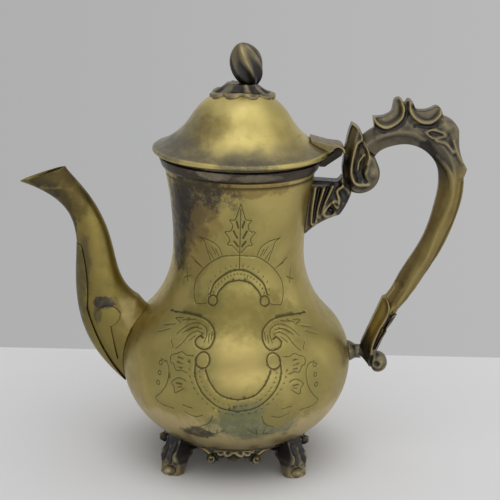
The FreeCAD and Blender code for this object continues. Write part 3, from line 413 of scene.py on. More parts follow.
sheetFinish = {
    "gold": (0.48, 0.385, 0.138),
    "olive": (0.37, 0.298, 0.098),
    "pale": (0.58, 0.472, 0.255),
    "brown": (0.25, 0.175, 0.062),
    "tarnish": (0.06, 0.052, 0.046),
    "green": (0.165, 0.19, 0.115),
    "ground": (0.295, 0.26, 0.09),
    # painted shade for the front of the shoulder
    "dull": (0.235, 0.192, 0.058),
    "line": (0.085, 0.069, 0.029),
    "roughness": 0.4,
    "softEdge": 0.2,
    "mottle": 0.66,
    "paleBelow": 45,
    "bands": [],
}
# the lid's gold and olive are brighter than the body's: partly a brighter polish, partly a painted highlight for the
# dome
lidFinish = dict(sheetFinish, gold=(0.68, 0.562, 0.218), olive=(0.5, 0.412, 0.138), tarnish=(0.14, 0.125, 0.095),
                 roughness=0.36, softEdge=0.5, mottle=0.8, paleBelow=0, bands=[(174.2, 179, 3.4, "tarnish", 0.8)])
spoutFinish = dict(sheetFinish, gold=(0.25, 0.195, 0.059), olive=(0.18, 0.147, 0.045), pale=(0.36, 0.28, 0.12),
                   brown=(0.105, 0.078, 0.03), line=(0.045, 0.038, 0.018), roughness=0.42, paleBelow=0)
plateFinish = dict(spoutFinish, gold=(0.26, 0.208, 0.064), olive=(0.185, 0.155, 0.048))
# the mouth rim and the lid's bezel are much darker than the body, with pale specks
rimFinish = dict(sheetFinish, gold=(0.088, 0.074, 0.055), olive=(0.06, 0.051, 0.04), brown=(0.055, 0.044, 0.03),
                 pale=(0.3, 0.255, 0.18), paleBelow=0)
bodyStains = [
    ((-2, -38, 161.5), (30, 14, 5), 2.6, "brown", 0.75),
    ((-26, -27, 140), (11, 12, 13), 2, "tarnish", 0.85),
    ((12, -58, 41), (25, 24, 14), 1.9, "green", 0.85),
    ((22, -52, 47), (15, 16, 9), 2.2, "olive", 0.8),
    ((-19, -50, 33), (9, 8, 4.5), 2.2, "tarnish", 0.9),
    ((-23, -32, 158), (21, 16, 17), 2, "tarnish", 0.95),
    ((-31, -19, 137), (12, 14, 28), 1.8, "tarnish", 0.98),
    ((-17, -33, 141), (9, 9, 10), 2.2, "brown", 0.6),
    ((-24, -30, 122), (12, 12, 14), 2.2, "brown", 0.55),
    ((-55, -24, 52), (10, 22, 20), 1.8, "brown", 0.3),
    # painted shade darkening the front of the shoulder, to hold back its highlight
    ((4, -45, 95), (38, 22, 13), 1.5, "dull", 0.8),
]
lidStains = [
    ((-30, -20, 187), (14, 28, 13), 1.4, "tarnish", 0.7),
    ((-40, -18, 178), (17, 34, 8), 1.4, "tarnish", 0.7),
    ((-16, -26, 189), (10, 10, 8), 1.8, "brown", 0.6),
    ((31, -24, 184), (11, 18, 12), 1.8, "brown", 0.35),
    ((3, -44, 173), (15, 9, 3.4), 2.2, "tarnish", 0.9),
]
rimStains = [
    ((-13, -38, 168), (12, 9, 3), 2.6, "pale", 0.8),
    ((9, -40, 167), (15, 9, 2), 2.8, "pale", 0.5),
]
spoutStains = [
    ((-72.5, -10, 88.2), (6.5, 6, 3.6), 2.9, "tarnish", 1),
    ((-76, -10, 83), (2.6, 6, 6), 2.4, "tarnish", 0.6),
    ((-99, -3, 147.6), (9, 10, 3.4), 1.3, "tarnish", 0.9),
    ((-93.5, -3, 140.5), (4.4, 10, 7), 1.3, "tarnish", 0.9),
    ((-89.8, -2, 131), (2.8, 10, 8), 1.5, "tarnish", 0.85),
    ((-102, -7, 154), (10, 12, 4.5), 3, "tarnish", 0.95),
    ((-96, -8, 158), (15, 14, 8), 2.4, "brown", 0.9),
    ((-88, -8, 146), (10, 14, 15), 1.8, "brown", 0.8),
    ((-84, 0, 96), (6, 12, 34), 2.2, "tarnish", 0.55),
    # painted highlight: a pale patch on top of the flare where the spout meets the body
    ((-55, -12, 86), (9, 16, 12), 1.8, "pale", 0.8),
]
# each noise has a scale, and some a detail, a roughness and a twist
sheetGrain = {"broad": (22, 3, 0.5, 0.4), "fine": (160, 6, 0.65), "ragged": (90, 8, 0.72, 0.3),
              "streak": (55, 5, 0.6, 0.8), "mottle": (240, 6, 0.7), "dents": (38, 2, 0.4)}
castGrain = {"broad": (70, 4, 0.6, 0.3), "fine": (420, 5, 0.65)}
plainGrain = (130, 5, 0.6)


def makeSheetBrass(name, finish, stains):
    # spun brass, rubbed unevenly, stained and dented, with patina left in and round the engraved lines
    material, shader, place = startMaterial(name)
    broad, fine, ragged, streak, mottle, dents = (noise(place, *grain) for grain in sheetGrain.values())
    colour = blend(spread(broad, 0.36, 0.62), finish["olive"], finish["gold"])
    halo = times(markOf(place, "halo"), spread(ragged, 0.3, 0.6, 0.35, 1))
    colour = blend(halo, colour, finish["ground"])
    colour = blend(spread(streak, 0.58, 0.78, 0, 0.55), colour, finish["brown"])
    colour = blend(spread(fine, 0.62, 0.8, 0, 0.35), colour, finish["pale"])
    # pale below a ragged edge
    up = newNode(place, "SeparateXYZ", {0: place}).outputs["Z"]
    low = sums("ADD", sums("MULTIPLY_ADD", ragged, 0.03, -0.015), up)
    edge = finish["paleBelow"]
    colour = blend(spread(low, edge * mm, (edge - 9) * mm, 0, 0.8), colour, finish["pale"])
    mottle = spread(mottle, 0.36, 0.56, finish["mottle"], 1)
    drift = sums("MULTIPLY_ADD", broad, 0.02, sums("SUBTRACT", up, 0.01))
    for bottom, top, soft, stain, share in finish["bands"]:
        band = times(spread(up, bottom * mm, (bottom + 0.5) * mm, 0, share),
                     spread(drift, (top + soft) * mm, (top - soft) * mm))
        colour = blend(times(band, mottle), colour, finish[stain])
    for centre, stretch, edge, stain, share in stains:
        patch = times(blotch(place, centre, stretch, edge, ragged, finish["softEdge"]), share)
        colour = blend(times(patch, mottle), colour, finish[stain])
    colour = blend(spread(markOf(place, "groove"), 0.1, 0.85, 0, 0.92), colour, finish["line"])
    rough = spread(fine, 0.3, 0.75, finish["roughness"] - 0.07, finish["roughness"] + 0.12)
    finishMetal(shader, colour, rough, sums("ADD", dents, times(fine, 0.05)), 0.8, 0.25)
    return material


castFinish = {
    "dark": (0.048, 0.046, 0.044),
    "bronze": (0.18, 0.154, 0.1),
    "bright": (0.34, 0.275, 0.145),
    "rubbed": (0.285, 0.221, 0.08),
    "rubbedBrown": (0.13, 0.092, 0.036),
    "roughness": 0.37,
}


def makeCastBrass():
    # dark oxidised casting, bright on its high edges and rubbed golden where it is held
    material, shader, place = startMaterial("oxidisedCastBrass")
    finish = castFinish
    broad, fine = (noise(place, *grain) for grain in castGrain.values())
    cloud = times(sums("SUBTRACT", broad, 0.5), 0.35)
    wear = sums("ADD", markOf(place, "wear"), cloud)
    colour = blend(spread(wear, 0.38, 0.62), finish["dark"], finish["bronze"])
    held = sums("ADD", markOf(place, "rub"), cloud)
    golden = blend(spread(wear, 0.34, 0.6), finish["rubbedBrown"], finish["rubbed"])
    colour = blend(spread(held, 0.15, 0.75), colour, golden)
    colour = blend(spread(wear, 0.6, 0.92), colour, finish["bright"])
    rough = spread(fine, 0.3, 0.75, finish["roughness"] - 0.08, finish["roughness"] + 0.14)
    height = sums("ADD", times(fine, 0.5), times(broad, 0.6))
    finishMetal(shader, colour, rough, height, 0.3, 0.25)
    return material


def plainMetal(name, colour, roughness):
    # fittings that stay as drawn: a mottled metal
    material, shader, place = startMaterial(name)
    cloud = noise(place, *plainGrain)
    mottled = blend(spread(cloud, 0.35, 0.7), [value * 0.6 for value in colour], colour)
    finishMetal(shader, mottled, spread(cloud, 0.3, 0.7, roughness - 0.06, roughness + 0.1), cloud, 0.2, 0.2)
    return material


sheetBrass = makeSheetBrass("wornSheetBrass", sheetFinish, bodyStains)
lidBrass = makeSheetBrass("wornLidBrass", lidFinish, lidStains)
spoutBrass = makeSheetBrass("duskySpoutBrass", spoutFinish, spoutStains)
plateBrass = makeSheetBrass("rubbedPlateBrass", plateFinish, spoutStains)
rimBrass = makeSheetBrass("darkRimBrass", rimFinish, rimStains)
castBrass = makeCastBrass()
fittings = plainMetal("duskyFittingBrass", (0.3, 0.235, 0.095), 0.38)
strapBrass = plainMetal("blackenedHingeBrass", (0.05, 0.043, 0.034), 0.42)
cadLooks = {"bottom_plate": sheetBrass, "lid_shell": lidBrass, "mouth_rim": rimBrass, "lid_bezel": rimBrass,
            "hinge_bracket": strapBrass, "hinge_pin": strapBrass}
for nodeName, node in frame["nodes"].items():
    node.data.materials.clear()
    node.data.materials.append(cadLooks.get(nodeName, fittings))


# spun body with its engraving

bodyForm = {
    "bellyRadius": 63, "bellyHeight": 56, "lowerBend": 45.6, "upperBend": 35,
    "waistRadius": 35.5, "waistHeight": 120, "mouthHeight": 170, "mouthBend": 190,
    "wall": 1.2, "baseRadius": 31, "baseOpening": 24, "baseEdge": 27.5, "floorEdge": 29.5,
    "steps": 180, "spacing": 2.2, "innerSpacing": 5,
}


def bodyArcs(f):
    # the side from the base up: each arc's two ends, its centre, its bend and which way it bulges
    rise = f["waistHeight"] - f["bellyHeight"]
    narrowing = f["bellyRadius"] - f["waistRadius"]
    bendSum = (narrowing ** 2 + rise ** 2) / (2 * narrowing)
    shoulder = f["bellyHeight"] + f["upperBend"] / bendSum * rise
    inward = f["baseRadius"] - f["bellyRadius"] + f["lowerBend"]
    base = f["bellyHeight"] - math.sqrt(f["lowerBend"] ** 2 - inward ** 2)
    bounds = [base, f["bellyHeight"], shoulder, f["waistHeight"], f["mouthHeight"]]
    bends = [f["lowerBend"], f["upperBend"], bendSum - f["upperBend"], f["mouthBend"]]
    sides = [("belly", 1), ("belly", 1), ("waist", -1), ("waist", -1)]
    return [(bottom, top, (f[part + "Radius"] - bulge * bend, f[part + "Height"]), bend, bulge)
            for bottom, top, bend, (part, bulge) in zip(bounds, bounds[1:], bends, sides)]


arcs = bodyArcs(bodyForm)
baseHeight = arcs[0][0]


def bodyRadius(z):
    for _, top, (r, height), bend, bulge in arcs:
        if z < top:
            break
    return r + bulge * math.sqrt(max(bend ** 2 - (z - height) ** 2, 0))


def bodySide(inset, spacing):
    points = []
    for bottom, top, centre, bend, bulge in arcs:
        turns = [math.degrees(math.asin((z - centre[1]) / bend)) for z in (bottom, top)]
        if bulge < 0:
            turns = [180 - turn for turn in turns]
        points += arcPoints(centre, bend - bulge * inset, *turns, spacing)[1 if points else 0:]
    return points


def onBody(angle, z):
    # angle from the front, toward the handle
    r = bodyRadius(z)
    return r * math.sin(math.radians(angle)), -r * math.cos(math.radians(angle)), z


# engraving on the front and back, as (degrees from the middle, height), mirrored left and right
engraving = {
    "middle": 1.2,
    "halo": 5,
    "haloShare": 0.66,
    "refine": (1.2, 0.62, 0.36),
    "deep": (0.62, 0.3),
    "light": (0.42, 0.2),
    "bold": (0.75, 0.28),
    "leaf": [(0, 152.8), (2.4, 147.4), (4.6, 143.8), (8.7, 143.6), (6.4, 140.8), (7.8, 137.8), (12.4, 136.8),
             (9.4, 134), (8.8, 132), (10.3, 130), (6.2, 129.4), (3.2, 127.6), (0.9, 125.7)],
    "leafStem": [(0, 150), (0, 135), (0, 117.4)],
    "leafVeins": [[(5.5, 137.6), (2.4, 133.8)], [(4.7, 131.9), (1.8, 129.4)], [(3.2, 143), (1.6, 139.6)]],
    "sideLeaf": [(36.4, 132.4), (26, 131.4), (18.4, 128.6), (14.9, 124.2)],
    "sideLeafBack": [(36.4, 132.4), (31.4, 130.6), (28.5, 125.8), (25.2, 120.4)],
    "sideLeafVeins": [[(24.5, 128.2), (20.5, 124.2)], [(27, 125.5), (22, 121.5)], [(21, 127.2), (18, 123.6)]],
    "sprigs": [[(45.5, 120.6), (32.6, 116)], [(41, 118.4), (34.5, 116.6)], [(52, 108), (44, 110.5)],
               [(50, 113), (47, 107)]],
    "fan": [(0, 124.4), (8.8, 124), (16.4, 122.9), (28.2, 117.6), (37.4, 110.2), (38.4, 104), (34.4, 98),
            (30, 97.6), (25.2, 98.4)],
    "shoe": [(0, 116.8), (9, 115.2), (20, 109.4), (23.4, 103.2)],
    "shoeInside": [(0, 111.2), (9, 109.8), (15.9, 105.2), (17.6, 102.4)],
    "shoeBall": (20.4, 100.2, 2.5),
    "scroll": [(54, 90.7), (38.4, 91.8), (24.6, 91.4), (17.1, 88.2), (14.7, 84.4), (15.6, 80.2), (18.9, 78.5),
               (23.4, 79.4), (25.5, 81.6), (23.6, 83.6), (21, 83)],
    "scrollInside": [(20, 81.6), (19.8, 85), (21.5, 87.4), (27.2, 88.8), (33.1, 87.6), (37.3, 84.7), (39.2, 82.4)],
    "scrollLeaf": [(22.4, 84.8), (27, 85.3), (31.1, 82.9), (33, 79.2), (35.4, 76.4)],
    "scrollFringe": [[(27, 87.2), (32, 85.9), (35.5, 83.4)], [(40, 89.5), (46, 88.6), (41, 87.4)],
                     [(44, 86), (52, 84)], [(46, 83.5), (53, 80.5)], [(40.5, 79.5), (37.5, 77)]],
    "scrollHatch": [[(24, 86.6), (29, 86.6), (33.5, 84.4)], [(18.2, 84.6), (17.6, 81.6)], [(16.6, 86), (16.3, 82.6)],
                    [(35, 90), (40, 88.4)], [(30, 90.2), (36, 89.2)], [(26.6, 83.4), (29.4, 81)]],
    "shoeLow": [(0, 48.4), (9, 50.6), (17, 58), (21.2, 66.4), (21.9, 73.4)],
    "shoeLowInside": [(0, 55.2), (5, 56.2), (9, 58.2), (13.3, 63.6), (16.2, 69.6)],
    "ballLow": (18.4, 73.8, 3.7),
    "flowerHigh": [(24, 75.2), (27.5, 74.8), (30.9, 75.8), (33.4, 74.6), (36.4, 73.2), (35.8, 70.2), (33.6, 69.4),
                   (31.6, 67), (28.6, 67.4), (25.6, 66.8)],
    "flowerLow": [(25.6, 62.6), (28.2, 63.6), (30.9, 62.8), (33.2, 60.2), (31.6, 58.2), (31.2, 55.2), (28.6, 56.6),
                  (26.4, 58.4)],
    "flowerMarks": [[(29, 72.8), (32.4, 73)], [(28.6, 70.6), (32, 70.8)], [(28.4, 69), (30.6, 68.6)],
                    [(27.4, 60.8), (30.2, 60.8)], [(27.4, 59.2), (29.6, 58.6)]],
    "pod": [(42, 70.2), (37.6, 69.4), (35.4, 65), (36, 58.6), (39.4, 52.8), (43.4, 48.4), (40, 46), (32.4, 45.4)],
    "podRings": [(41.6, 68.4, 1.1), (41, 63.4, 1), (41.2, 58, 1.1)],
    "sprays": [[(12, 45), (14, 40), (19, 37)], [(17, 44.6), (21, 43.2), (26, 44.8)], [(22, 48), (27, 49)],
               [(6, 36), (11, 33), (17, 32.4)], [(10, 36.2), (10.6, 32.8)], [(14.6, 36), (14, 33)]],
    "neckRings": [161.2, 164.6],
    "ringCut": (0.45, 0.22),
}


def engravedLines():
    e = engraving
    deep, light = e["deep"], e["light"]
    strokes = [(e[name], deep) for name in ("shoe", "shoeInside", "scroll", "shoeLow", "shoeLowInside")]
    strokes += [(e[name], light) for name in ("leaf", "leafStem", "sideLeaf", "sideLeafBack", "fan", "scrollInside",
                                              "scrollLeaf", "flowerHigh", "flowerLow", "pod")]
    strokes += [(marks, e["bold"]) for marks in e["leafVeins"]]
    for name in ("sideLeafVeins", "sprigs", "scrollFringe", "scrollHatch", "flowerMarks", "sprays"):
        strokes += [(marks, light) for marks in e[name]]
    circles = [(e["shoeBall"], deep), (e["ballLow"], deep)] + [(spot, light) for spot in e["podRings"]]
    for (angle, z, radius), weight in circles:
        reach = math.degrees(radius / bodyRadius(z))
        ring = [(angle + reach * math.cos(t), z + radius * math.sin(t)) for t in np.linspace(0, 2 * math.pi, 25)]
        strokes.append((ring, weight))
    # rows of punched dashes inside the two shoes and along the fan
    for row, inside, share, count in (("shoe", "shoeInside", 0.45, 9), ("shoeLow", "shoeLowInside", 0.4, 12),
                                      ("shoe", "fan", 0.25, 8), ("shoeLow", "shoeLow", 0, 12)):
        far, near = smoothLine(e[row], 0.5), smoothLine(e[inside], 0.5)
        for index in range(count):
            spot = (index + 0.6) / count
            a = far[int(spot * (len(far) - 1))]
            b = near[int(spot * (len(near) - 1))]
            middle = a + (b - a) * share
            if row == inside:
                middle = middle + np.array([2.6 * spot + 0.4, -2.2 * (1 - spot) - 0.3])
            along = (far[min(int(spot * len(far)) + 2, len(far) - 1)] - a)
            strokes.append(([middle, middle + 0.05 * along + np.array([0.5, 0.3])], light))
    lines = []
    for face in (0, 180):
        for marks, (width, depth) in strokes:
            for side in (1, -1):
                line = smoothLine(marks, 0.25)
                lines.append(([onBody(face + e["middle"] + side * a, z) for a, z in line], width, depth))
    rings = [([onBody(a, z) for a in np.arange(0, 360, 0.3)], *e["ringCut"]) for z in e["neckRings"]]
    return lines, rings


def refineBody(body, lines):
    # finer faces beside the lines, each pass put back on the round
    tree, _ = lineTree(lines)
    pickOnly(body)
    setMode("EDIT")
    bpy.ops.mesh.select_mode(type="FACE")
    for reach in engraving["refine"]:
        bpy.ops.mesh.select_all(action="DESELECT")
        mesh = bmesh.from_edit_mesh(body.data)
        for face in mesh.faces:
            spot = face.calc_center_median() / mm
            if spot.z > baseHeight + 2 and math.hypot(spot.x, spot.y) > bodyRadius(spot.z) - 0.5:
                if tree.find(spot)[2] < reach:
                    face.select_set(True)
        mesh.select_flush_mode()
        bmesh.update_edit_mesh(body.data)
        bpy.ops.mesh.subdivide(number_cuts=1, ngon=False)
        mesh = bmesh.from_edit_mesh(body.data)
        for corner in mesh.verts:
            z = corner.co.z / mm
            if baseHeight + 1.5 < z < bodyForm["mouthHeight"] - 0.5:
                r = math.hypot(corner.co.x, corner.co.y)
                wanted = bodyRadius(z) * mm
                if abs(r - wanted) < 0.5 * mm:
                    corner.co.x *= wanted / r
                    corner.co.y *= wanted / r
        bmesh.update_edit_mesh(body.data)
    setMode("OBJECT")


def makeBody():
    f = bodyForm
    floor = baseHeight + f["wall"]
    inner = [point for point in bodySide(f["wall"], f["innerSpacing"]) if point[1] > floor]
    base = (f["baseOpening"], baseHeight)
    profile = [base, (f["baseEdge"], baseHeight)] + bodySide(0, f["spacing"]) + inner[::-1]
    profile += [(f["floorEdge"], floor), (f["baseOpening"], floor), base]
    body = ringSheet("bodySpun", turnedRings(profile, f["steps"]), "merge")
    lines, rings = engravedLines()
    refineBody(body, lines + rings)
    points, normals = readPoints(body), readNormals(body)
    outside = np.array([math.hypot(x, y) > bodyRadius(z) - 0.4 for x, y, z in points])
    cuts = cutLines(points, lines + rings) * outside
    writePoints(body, points - normals * cuts[:, None])
    writeMark(body, "groove", cuts / engraving["light"][1])
    halo = ramp(gapsTo(lines, points) / engraving["halo"], 1.25, 0.25) * outside
    writeMark(body, "halo", evenOut(body, engraving["haloShare"] * halo, 3))
    finishPiece(body, "pot", sheetBrass, "body_shell")


makeBody()


# castings: closed skins of the drawn shapes, softened, then chased with strokes

def finishCasting(piece, body, node, shine, rub=None, *wear):
    markWearAndPaintedLight(piece, shine, *wear)
    if rub is not None:
        writeMark(piece, "rub", rub)
    finishPiece(piece, body, castBrass, node)


# a stroke is (marks along it, half width, rise, shine), in millimetres across and up the face

scrollPlate = {
    "outline": [(58.6, 188.8), (61.6, 187), (63.8, 184.4), (64.8, 181), (66.4, 178.2), (68.6, 174), (69.4, 169.6),
                (69.6, 163), (66.4, 157), (60.4, 154.4), (56.8, 156.6), (54.5, 162.5), (54.9, 170), (55.8, 177),
                (57.1, 184)],
    "halfWidth": 5.6,
}
scrollChasing = [
    # painted light lifts this cut along the left bevel against its shade
    ([(57, 186), (55.6, 175.5), (54.6, 163.1), (57, 156.9)], 3.8, -2.2, 0.35),
    ([(55.6, 168), (56, 161), (59.6, 154.5)], 3.2, -0.2, -0.4),
    # painted light lifts these two recess cuts against the shade they fall in
    ([(64.2, 177.2), (63.6, 170.5), (62.4, 164.5), (63.6, 159.5)], 2.7, -2, 0.25),
    ([(66.4, 173.6), (66, 169.8), (64.4, 164)], 1.7, -1.2, 0.25),
    ([(59.1, 189.1), (63.2, 185), (64, 180.6), (61.2, 177.2), (59.3, 169.4), (59.3, 160.1), (62.6, 156.3),
      (68.6, 156.4)], 1.1, 1, 0.5),
    ([(65.4, 178.6), (67.6, 174.3), (68.3, 170.4), (66.7, 165), (66.3, 162.6)], 1.2, 0.5, 0.3),
    ([(65.2, 171.9), (63, 168), (62.8, 163.7)], 0.8, 2, 0.5),
    ([(66.7, 166.2), (65.3, 161.6), (67, 157.8)], 1, -1.2, -0.4),
    # painted shadow in the gap under the crest
    ([(67.8, 180.2), (70.7, 178.8), (69.8, 174.1)], 1.6, -1.2, -0.5),
    ([(70.8, 163.6), (72.4, 162.2)], 2.6, 0.3, 0.16),
]

gripChasing = [
    ([(71.4, 193.1), (76.2, 191.2), (81.2, 194.9), (82.5, 200)], 3.4, -1.3, 0.4),
    ([(69.6, 192.8), (71.3, 189.9), (75.8, 187.3), (80.4, 188.9), (84.3, 192.6), (85.2, 196.7), (83.6, 202.4)],
     1.4, 1.4, 0.32),
    # a little painted shadow below the first cup's rim
    ([(68.6, 190.4), (70.6, 187.4), (75.8, 184.9), (81.4, 186.3), (85.6, 190.2), (87, 195)], 1.4, -0.5, -0.06),
    ([(86.8, 203), (87.2, 193), (91.6, 188.4)], 1, -0.4, 0.1),
    ([(91, 198), (96.4, 196.1), (103.2, 198.9)], 2.9, -1.2, 0.4),
    ([(88.5, 201.6), (89.7, 195.1), (94.3, 191), (99.6, 190.5), (103.6, 193.6), (105.1, 196.8)], 1.4, 1.4, 0.32),
    # a little painted shadow below the second cup
    ([(92, 188.4), (101, 188.2), (105.5, 191)], 1.3, -0.6, -0.06),
    ([(106.6, 190), (108.4, 187.6)], 3.4, 1.1, 0.3),
    ([(97.6, 185.1), (101.7, 186.6), (108.3, 183.6), (101.9, 182.3), (97.6, 185.1)], 0.9, 0.9, 0.26),
    ([(99.6, 184.8), (105.6, 184.2)], 0.9, -0.3, 0),
    ([(103.2, 181.1), (108.6, 179.4), (113, 174.7)], 1.2, 1, 0.28),
    ([(109.4, 186), (112, 178), (114, 172.6)], 1.1, -0.3, 0),
    ([(112.6, 181), (115, 174.4), (118.4, 169)], 1.1, 0.7, 0.2),
    ([(72, 181.5), (80, 184.2), (90, 184.2), (97, 180.6)], 1.6, 0.5, 0.08),
    ([(98, 177.1), (104.7, 167.1), (107.6, 157), (106.1, 145.2), (101.5, 132.3), (95.6, 116.5), (88, 101.5)],
     4.2, -1.1, -0.3),
    ([(104.4, 172), (111, 164.2), (113.3, 157.2), (113.5, 149.3), (110.3, 138.9), (106.4, 128.4), (101.6, 113.6),
      (94.3, 98.6), (88.3, 88.6)], 1.6, 0.45, 0.16),
    ([(119, 158.1), (118.1, 148.6), (115.8, 137.4), (112.5, 129.4), (106.4, 114.4), (98.4, 98)], 0.9, -0.3, -0.36),
    ([(88.6, 99.4), (85.4, 93.4), (82.6, 88)], 2.4, -0.4, -0.5),
]

# the grip is filled out below its bend: heights, and how far its inner and outer edges move out
gripForm = {
    "heights": [77, 85, 91, 97, 101, 106, 112, 127, 143, 155, 166],
    "inner": [0, 0.4, 1.6, 2.6, 3.6, 4.2, 4, 2.6, 1.7, 0.5, 0],
    "outer": [-4.4, -3.4, 0.4, 2.6, 2.6, 1.2, 0, 0, 0, 0, 0],
    "swellTop": 168, "crest": (165, 180), "melting": 26, "held": (178, 144), "tail": (70, 76),
}

bracketChasing = [
    ([(38, 156), (48, 153), (56, 150)], 9, 0, -0.22),
    ([(38, 142), (44, 142), (52, 144)], 8, 0, -0.16),
    ([(42.4, 153.6), (40.8, 143), (40, 135)], 1.2, -1, -0.2),
    ([(47.1, 154.3), (44, 144.8), (42, 137)], 1.2, -1, -0.2),
    ([(40.2, 153.8), (39.1, 142.3), (39, 134.4)], 1.2, 1.2, 0.4),
    ([(44.8, 153.5), (42.5, 144), (41.2, 136), (39.7, 132.8)], 1.2, 1.2, 0.4),
    ([(49.5, 155.2), (45.5, 145.6), (42.7, 137.6)], 1.2, 1.1, 0.34),
    ([(55, 155.7), (51.9, 152.9), (52.8, 149.8), (52.9, 146.6), (49.6, 146.9), (45.3, 140.1), (48, 138.4),
      (51, 139.8)], 1.3, 1.3, 0.45),
    ([(49.9, 146.5), (52.3, 143.3), (53.2, 145.8)], 0.9, 1.1, 0.4),
    ([(55.5, 151), (57, 148.5)], 2.8, -1.5, -0.2),
    ([(48.4, 142.6), (49.4, 141.6)], 1.4, -1.2, -0.25),
]

sheathForm = {
    "droopAcross": [73.2, 77],
    "droop": [-1.3, 1.6],
    "leftEdge": [(79.9, 94), (75.5, 83.3), (71.2, 72.2), (69.1, 64.9), (70.8, 55.1)],
    "frondLong": [(88.1, 82.3), (86.8, 83.2), (83.2, 79.2), (79.4, 73.2), (76.6, 66), (78.4, 64.8), (81.2, 70.9),
                  (85.2, 76.9)],
    "frondShort": [(83.1, 73.1), (81.9, 74), (78.6, 68.4), (76.2, 61.8), (77.9, 60.8), (80.2, 66.2)],
    "frondWidths": (3.2, 3.8), "thin": 0.6, "thinReach": 5.5, "tip": 91.6, "tipShrink": 0.8, "droopDown": (62, 55),
    "goldUp": (62, 76), "goldAcross": (84, 80), "gold": 0.72, "shine": 0.04,
}
sheathChasing = [
    ([(81, 94.4), (83.1, 88.4), (82.5, 83.2), (78.3, 74.7), (75.4, 66.8), (74.4, 60)], 1.05, 1.3, 0.5),
    ([(85, 84.4), (82.4, 77.5), (79.6, 71.5), (76.4, 63.4)], 1.2, -1.4, -0.4),
    ([(87.4, 81.6), (83.8, 77), (80.6, 71), (78, 65)], 2.6, 0.4, -0.6),
    ([(82.6, 73), (79.6, 68.2), (77.2, 62.6)], 0.9, 0.8, 0.5),
    ([(70.6, 72), (69.8, 62), (72, 55)], 4, -0.2, -0.9),
    ([(77.9, 54.1), (78.2, 53.9)], 1.9, -1.1, -0.5),
    ([(75.6, 58.4), (74.6, 54.6), (76.4, 51.2), (80, 50.6), (82.4, 53)], 0.9, -0.7, -0.2),
    ([(80.6, 57.2), (81.4, 56)], 1.8, 0.2, 0.2),
]


def makeHandle():
    flat = {"across": (1, 0, 0), "out": (0, 1, 0), "both": True}
    scroll = copyOfCad("handle_scroll")
    joinTo(scroll, slab("scrollPlate", scrollPlate["outline"], scrollPlate["halfWidth"]))
    castSkin(scroll)
    shine = relief(scroll, scrollChasing, **flat)
    writePoints(scroll, readPoints(scroll), 3)
    finishCasting(scroll, "pot", "handle_scroll", shine)

    f = gripForm
    grip = castCopy("handle_grip")
    points = readPoints(grip)
    x, _, z = points.T
    levels = np.arange(math.ceil(z.min()) + 1, f["swellTop"] + 2, 2.0)
    rows = [x[np.abs(z - level) < 1.5] for level in levels]
    left = np.interp(z, levels, [row.min() for row in rows])
    right = np.interp(z, levels, [row.max() for row in rows])
    share = ramp(x, right, left)
    inner, outer = (np.interp(z, f["heights"], f[side]) for side in ("inner", "outer"))
    x += np.where(z < f["swellTop"], outer * (1 - share) - inner * share, 0)
    writePoints(grip, points, 3)
    # the crest is melted into the grip below it before it is chased
    points = readPoints(grip)
    crest = ramp(points[:, 2], *f["crest"]) * np.clip(1.6 * np.abs(readNormals(grip)[:, 1]), 0, 1)
    melted = evenOut(grip, points, f["melting"])
    writePoints(grip, points + (melted - points) * evenOut(grip, crest, 4)[:, None])
    shine = relief(grip, gripChasing, **flat)
    writePoints(grip, readPoints(grip), 1)
    z = readPoints(grip)[:, 2]
    held = ramp(z, *f["held"]) * np.maximum(ramp(z, *f["tail"]), 0.4)
    finishCasting(grip, "pot", "handle_grip", shine, held)

    bracket = castCopy("handle_bracket")
    finishCasting(bracket, "pot", "handle_bracket", relief(bracket, bracketChasing, **flat))

    f = sheathForm
    sheath = copyOfCad("handle_sheath")
    joinTo(sheath, *(slab(name, f[name], width) for name, width in zip(("frondLong", "frondShort"), f["frondWidths"])))
    castSkin(sheath)
    # the leaf is thin along its inner edge, its tip is lower and its foot hangs down
    points = readPoints(sheath)
    x, y, z = points.T
    line = smoothLine(f["leftEdge"], 0.5)
    gaps = np.sqrt(((points[:, None, ::2] - line[None]) ** 2).sum(2).min(1))
    y *= 1 - f["thin"] * ramp(gaps, f["thinReach"], 0)
    z -= f["tipShrink"] * np.maximum(z - f["tip"], 0) + ramp(z, *f["droopDown"]) * np.interp(
        x, f["droopAcross"], f["droop"])
    writePoints(sheath, points, 2)
    shine = relief(sheath, sheathChasing, **flat)
    x, _, z = readPoints(sheath).T
    leafFace = ramp(z, *f["goldUp"]) * np.maximum(ramp(x, *f["goldAcross"]), 0.2)
    finishCasting(sheath, "pot", "handle_sheath", shine + f["shine"], f["gold"] * leafFace)

    finishCasting(castCopy("handle_stub"), "pot", "handle_stub", 0)


makeHandle()


# one foot and one apron are chased, then copied round in quarter turns: strokes right of the middle are mirrored

footChasing = [
    ([(0, 20), (0, 14)], 9, 0, -0.3),
    ([(0, 19.5), (0, 17)], 3.6, 0.9, 0.05),
    ([(2.4, 17.5), (2, 12), (2.6, 7.5)], 0.9, -0.8, -0.3),
    ([(0, 15.5), (0, 8)], 1.1, 0.5, 0.16),
    ([(4.8, 18.6), (5.6, 15), (4.1, 11.6), (5, 8.4)], 1, 0.8, 0.2),
    ([(0, 5), (0, 1.5)], 3.6, 0.9, 0.3),
    ([(2.1, 6.2), (1.9, 1)], 0.6, -0.4, -0.2),
    ([(0, 5), (0, 4)], 1.2, 0.1, 0.3),
    ([(3.8, 5), (3.8, 4)], 1.3, 0.1, 0.3),
]
footForm = {
    "softening": 5, "shine": -0.08, "toeShine": 0.3, "toes": (6.5, 3.5),
    "heights": [0, 8, 20, 29], "outward": [2.2, 1.8, -1, -1], "wider": [0.14, 0.16, 0.1, 0],
}

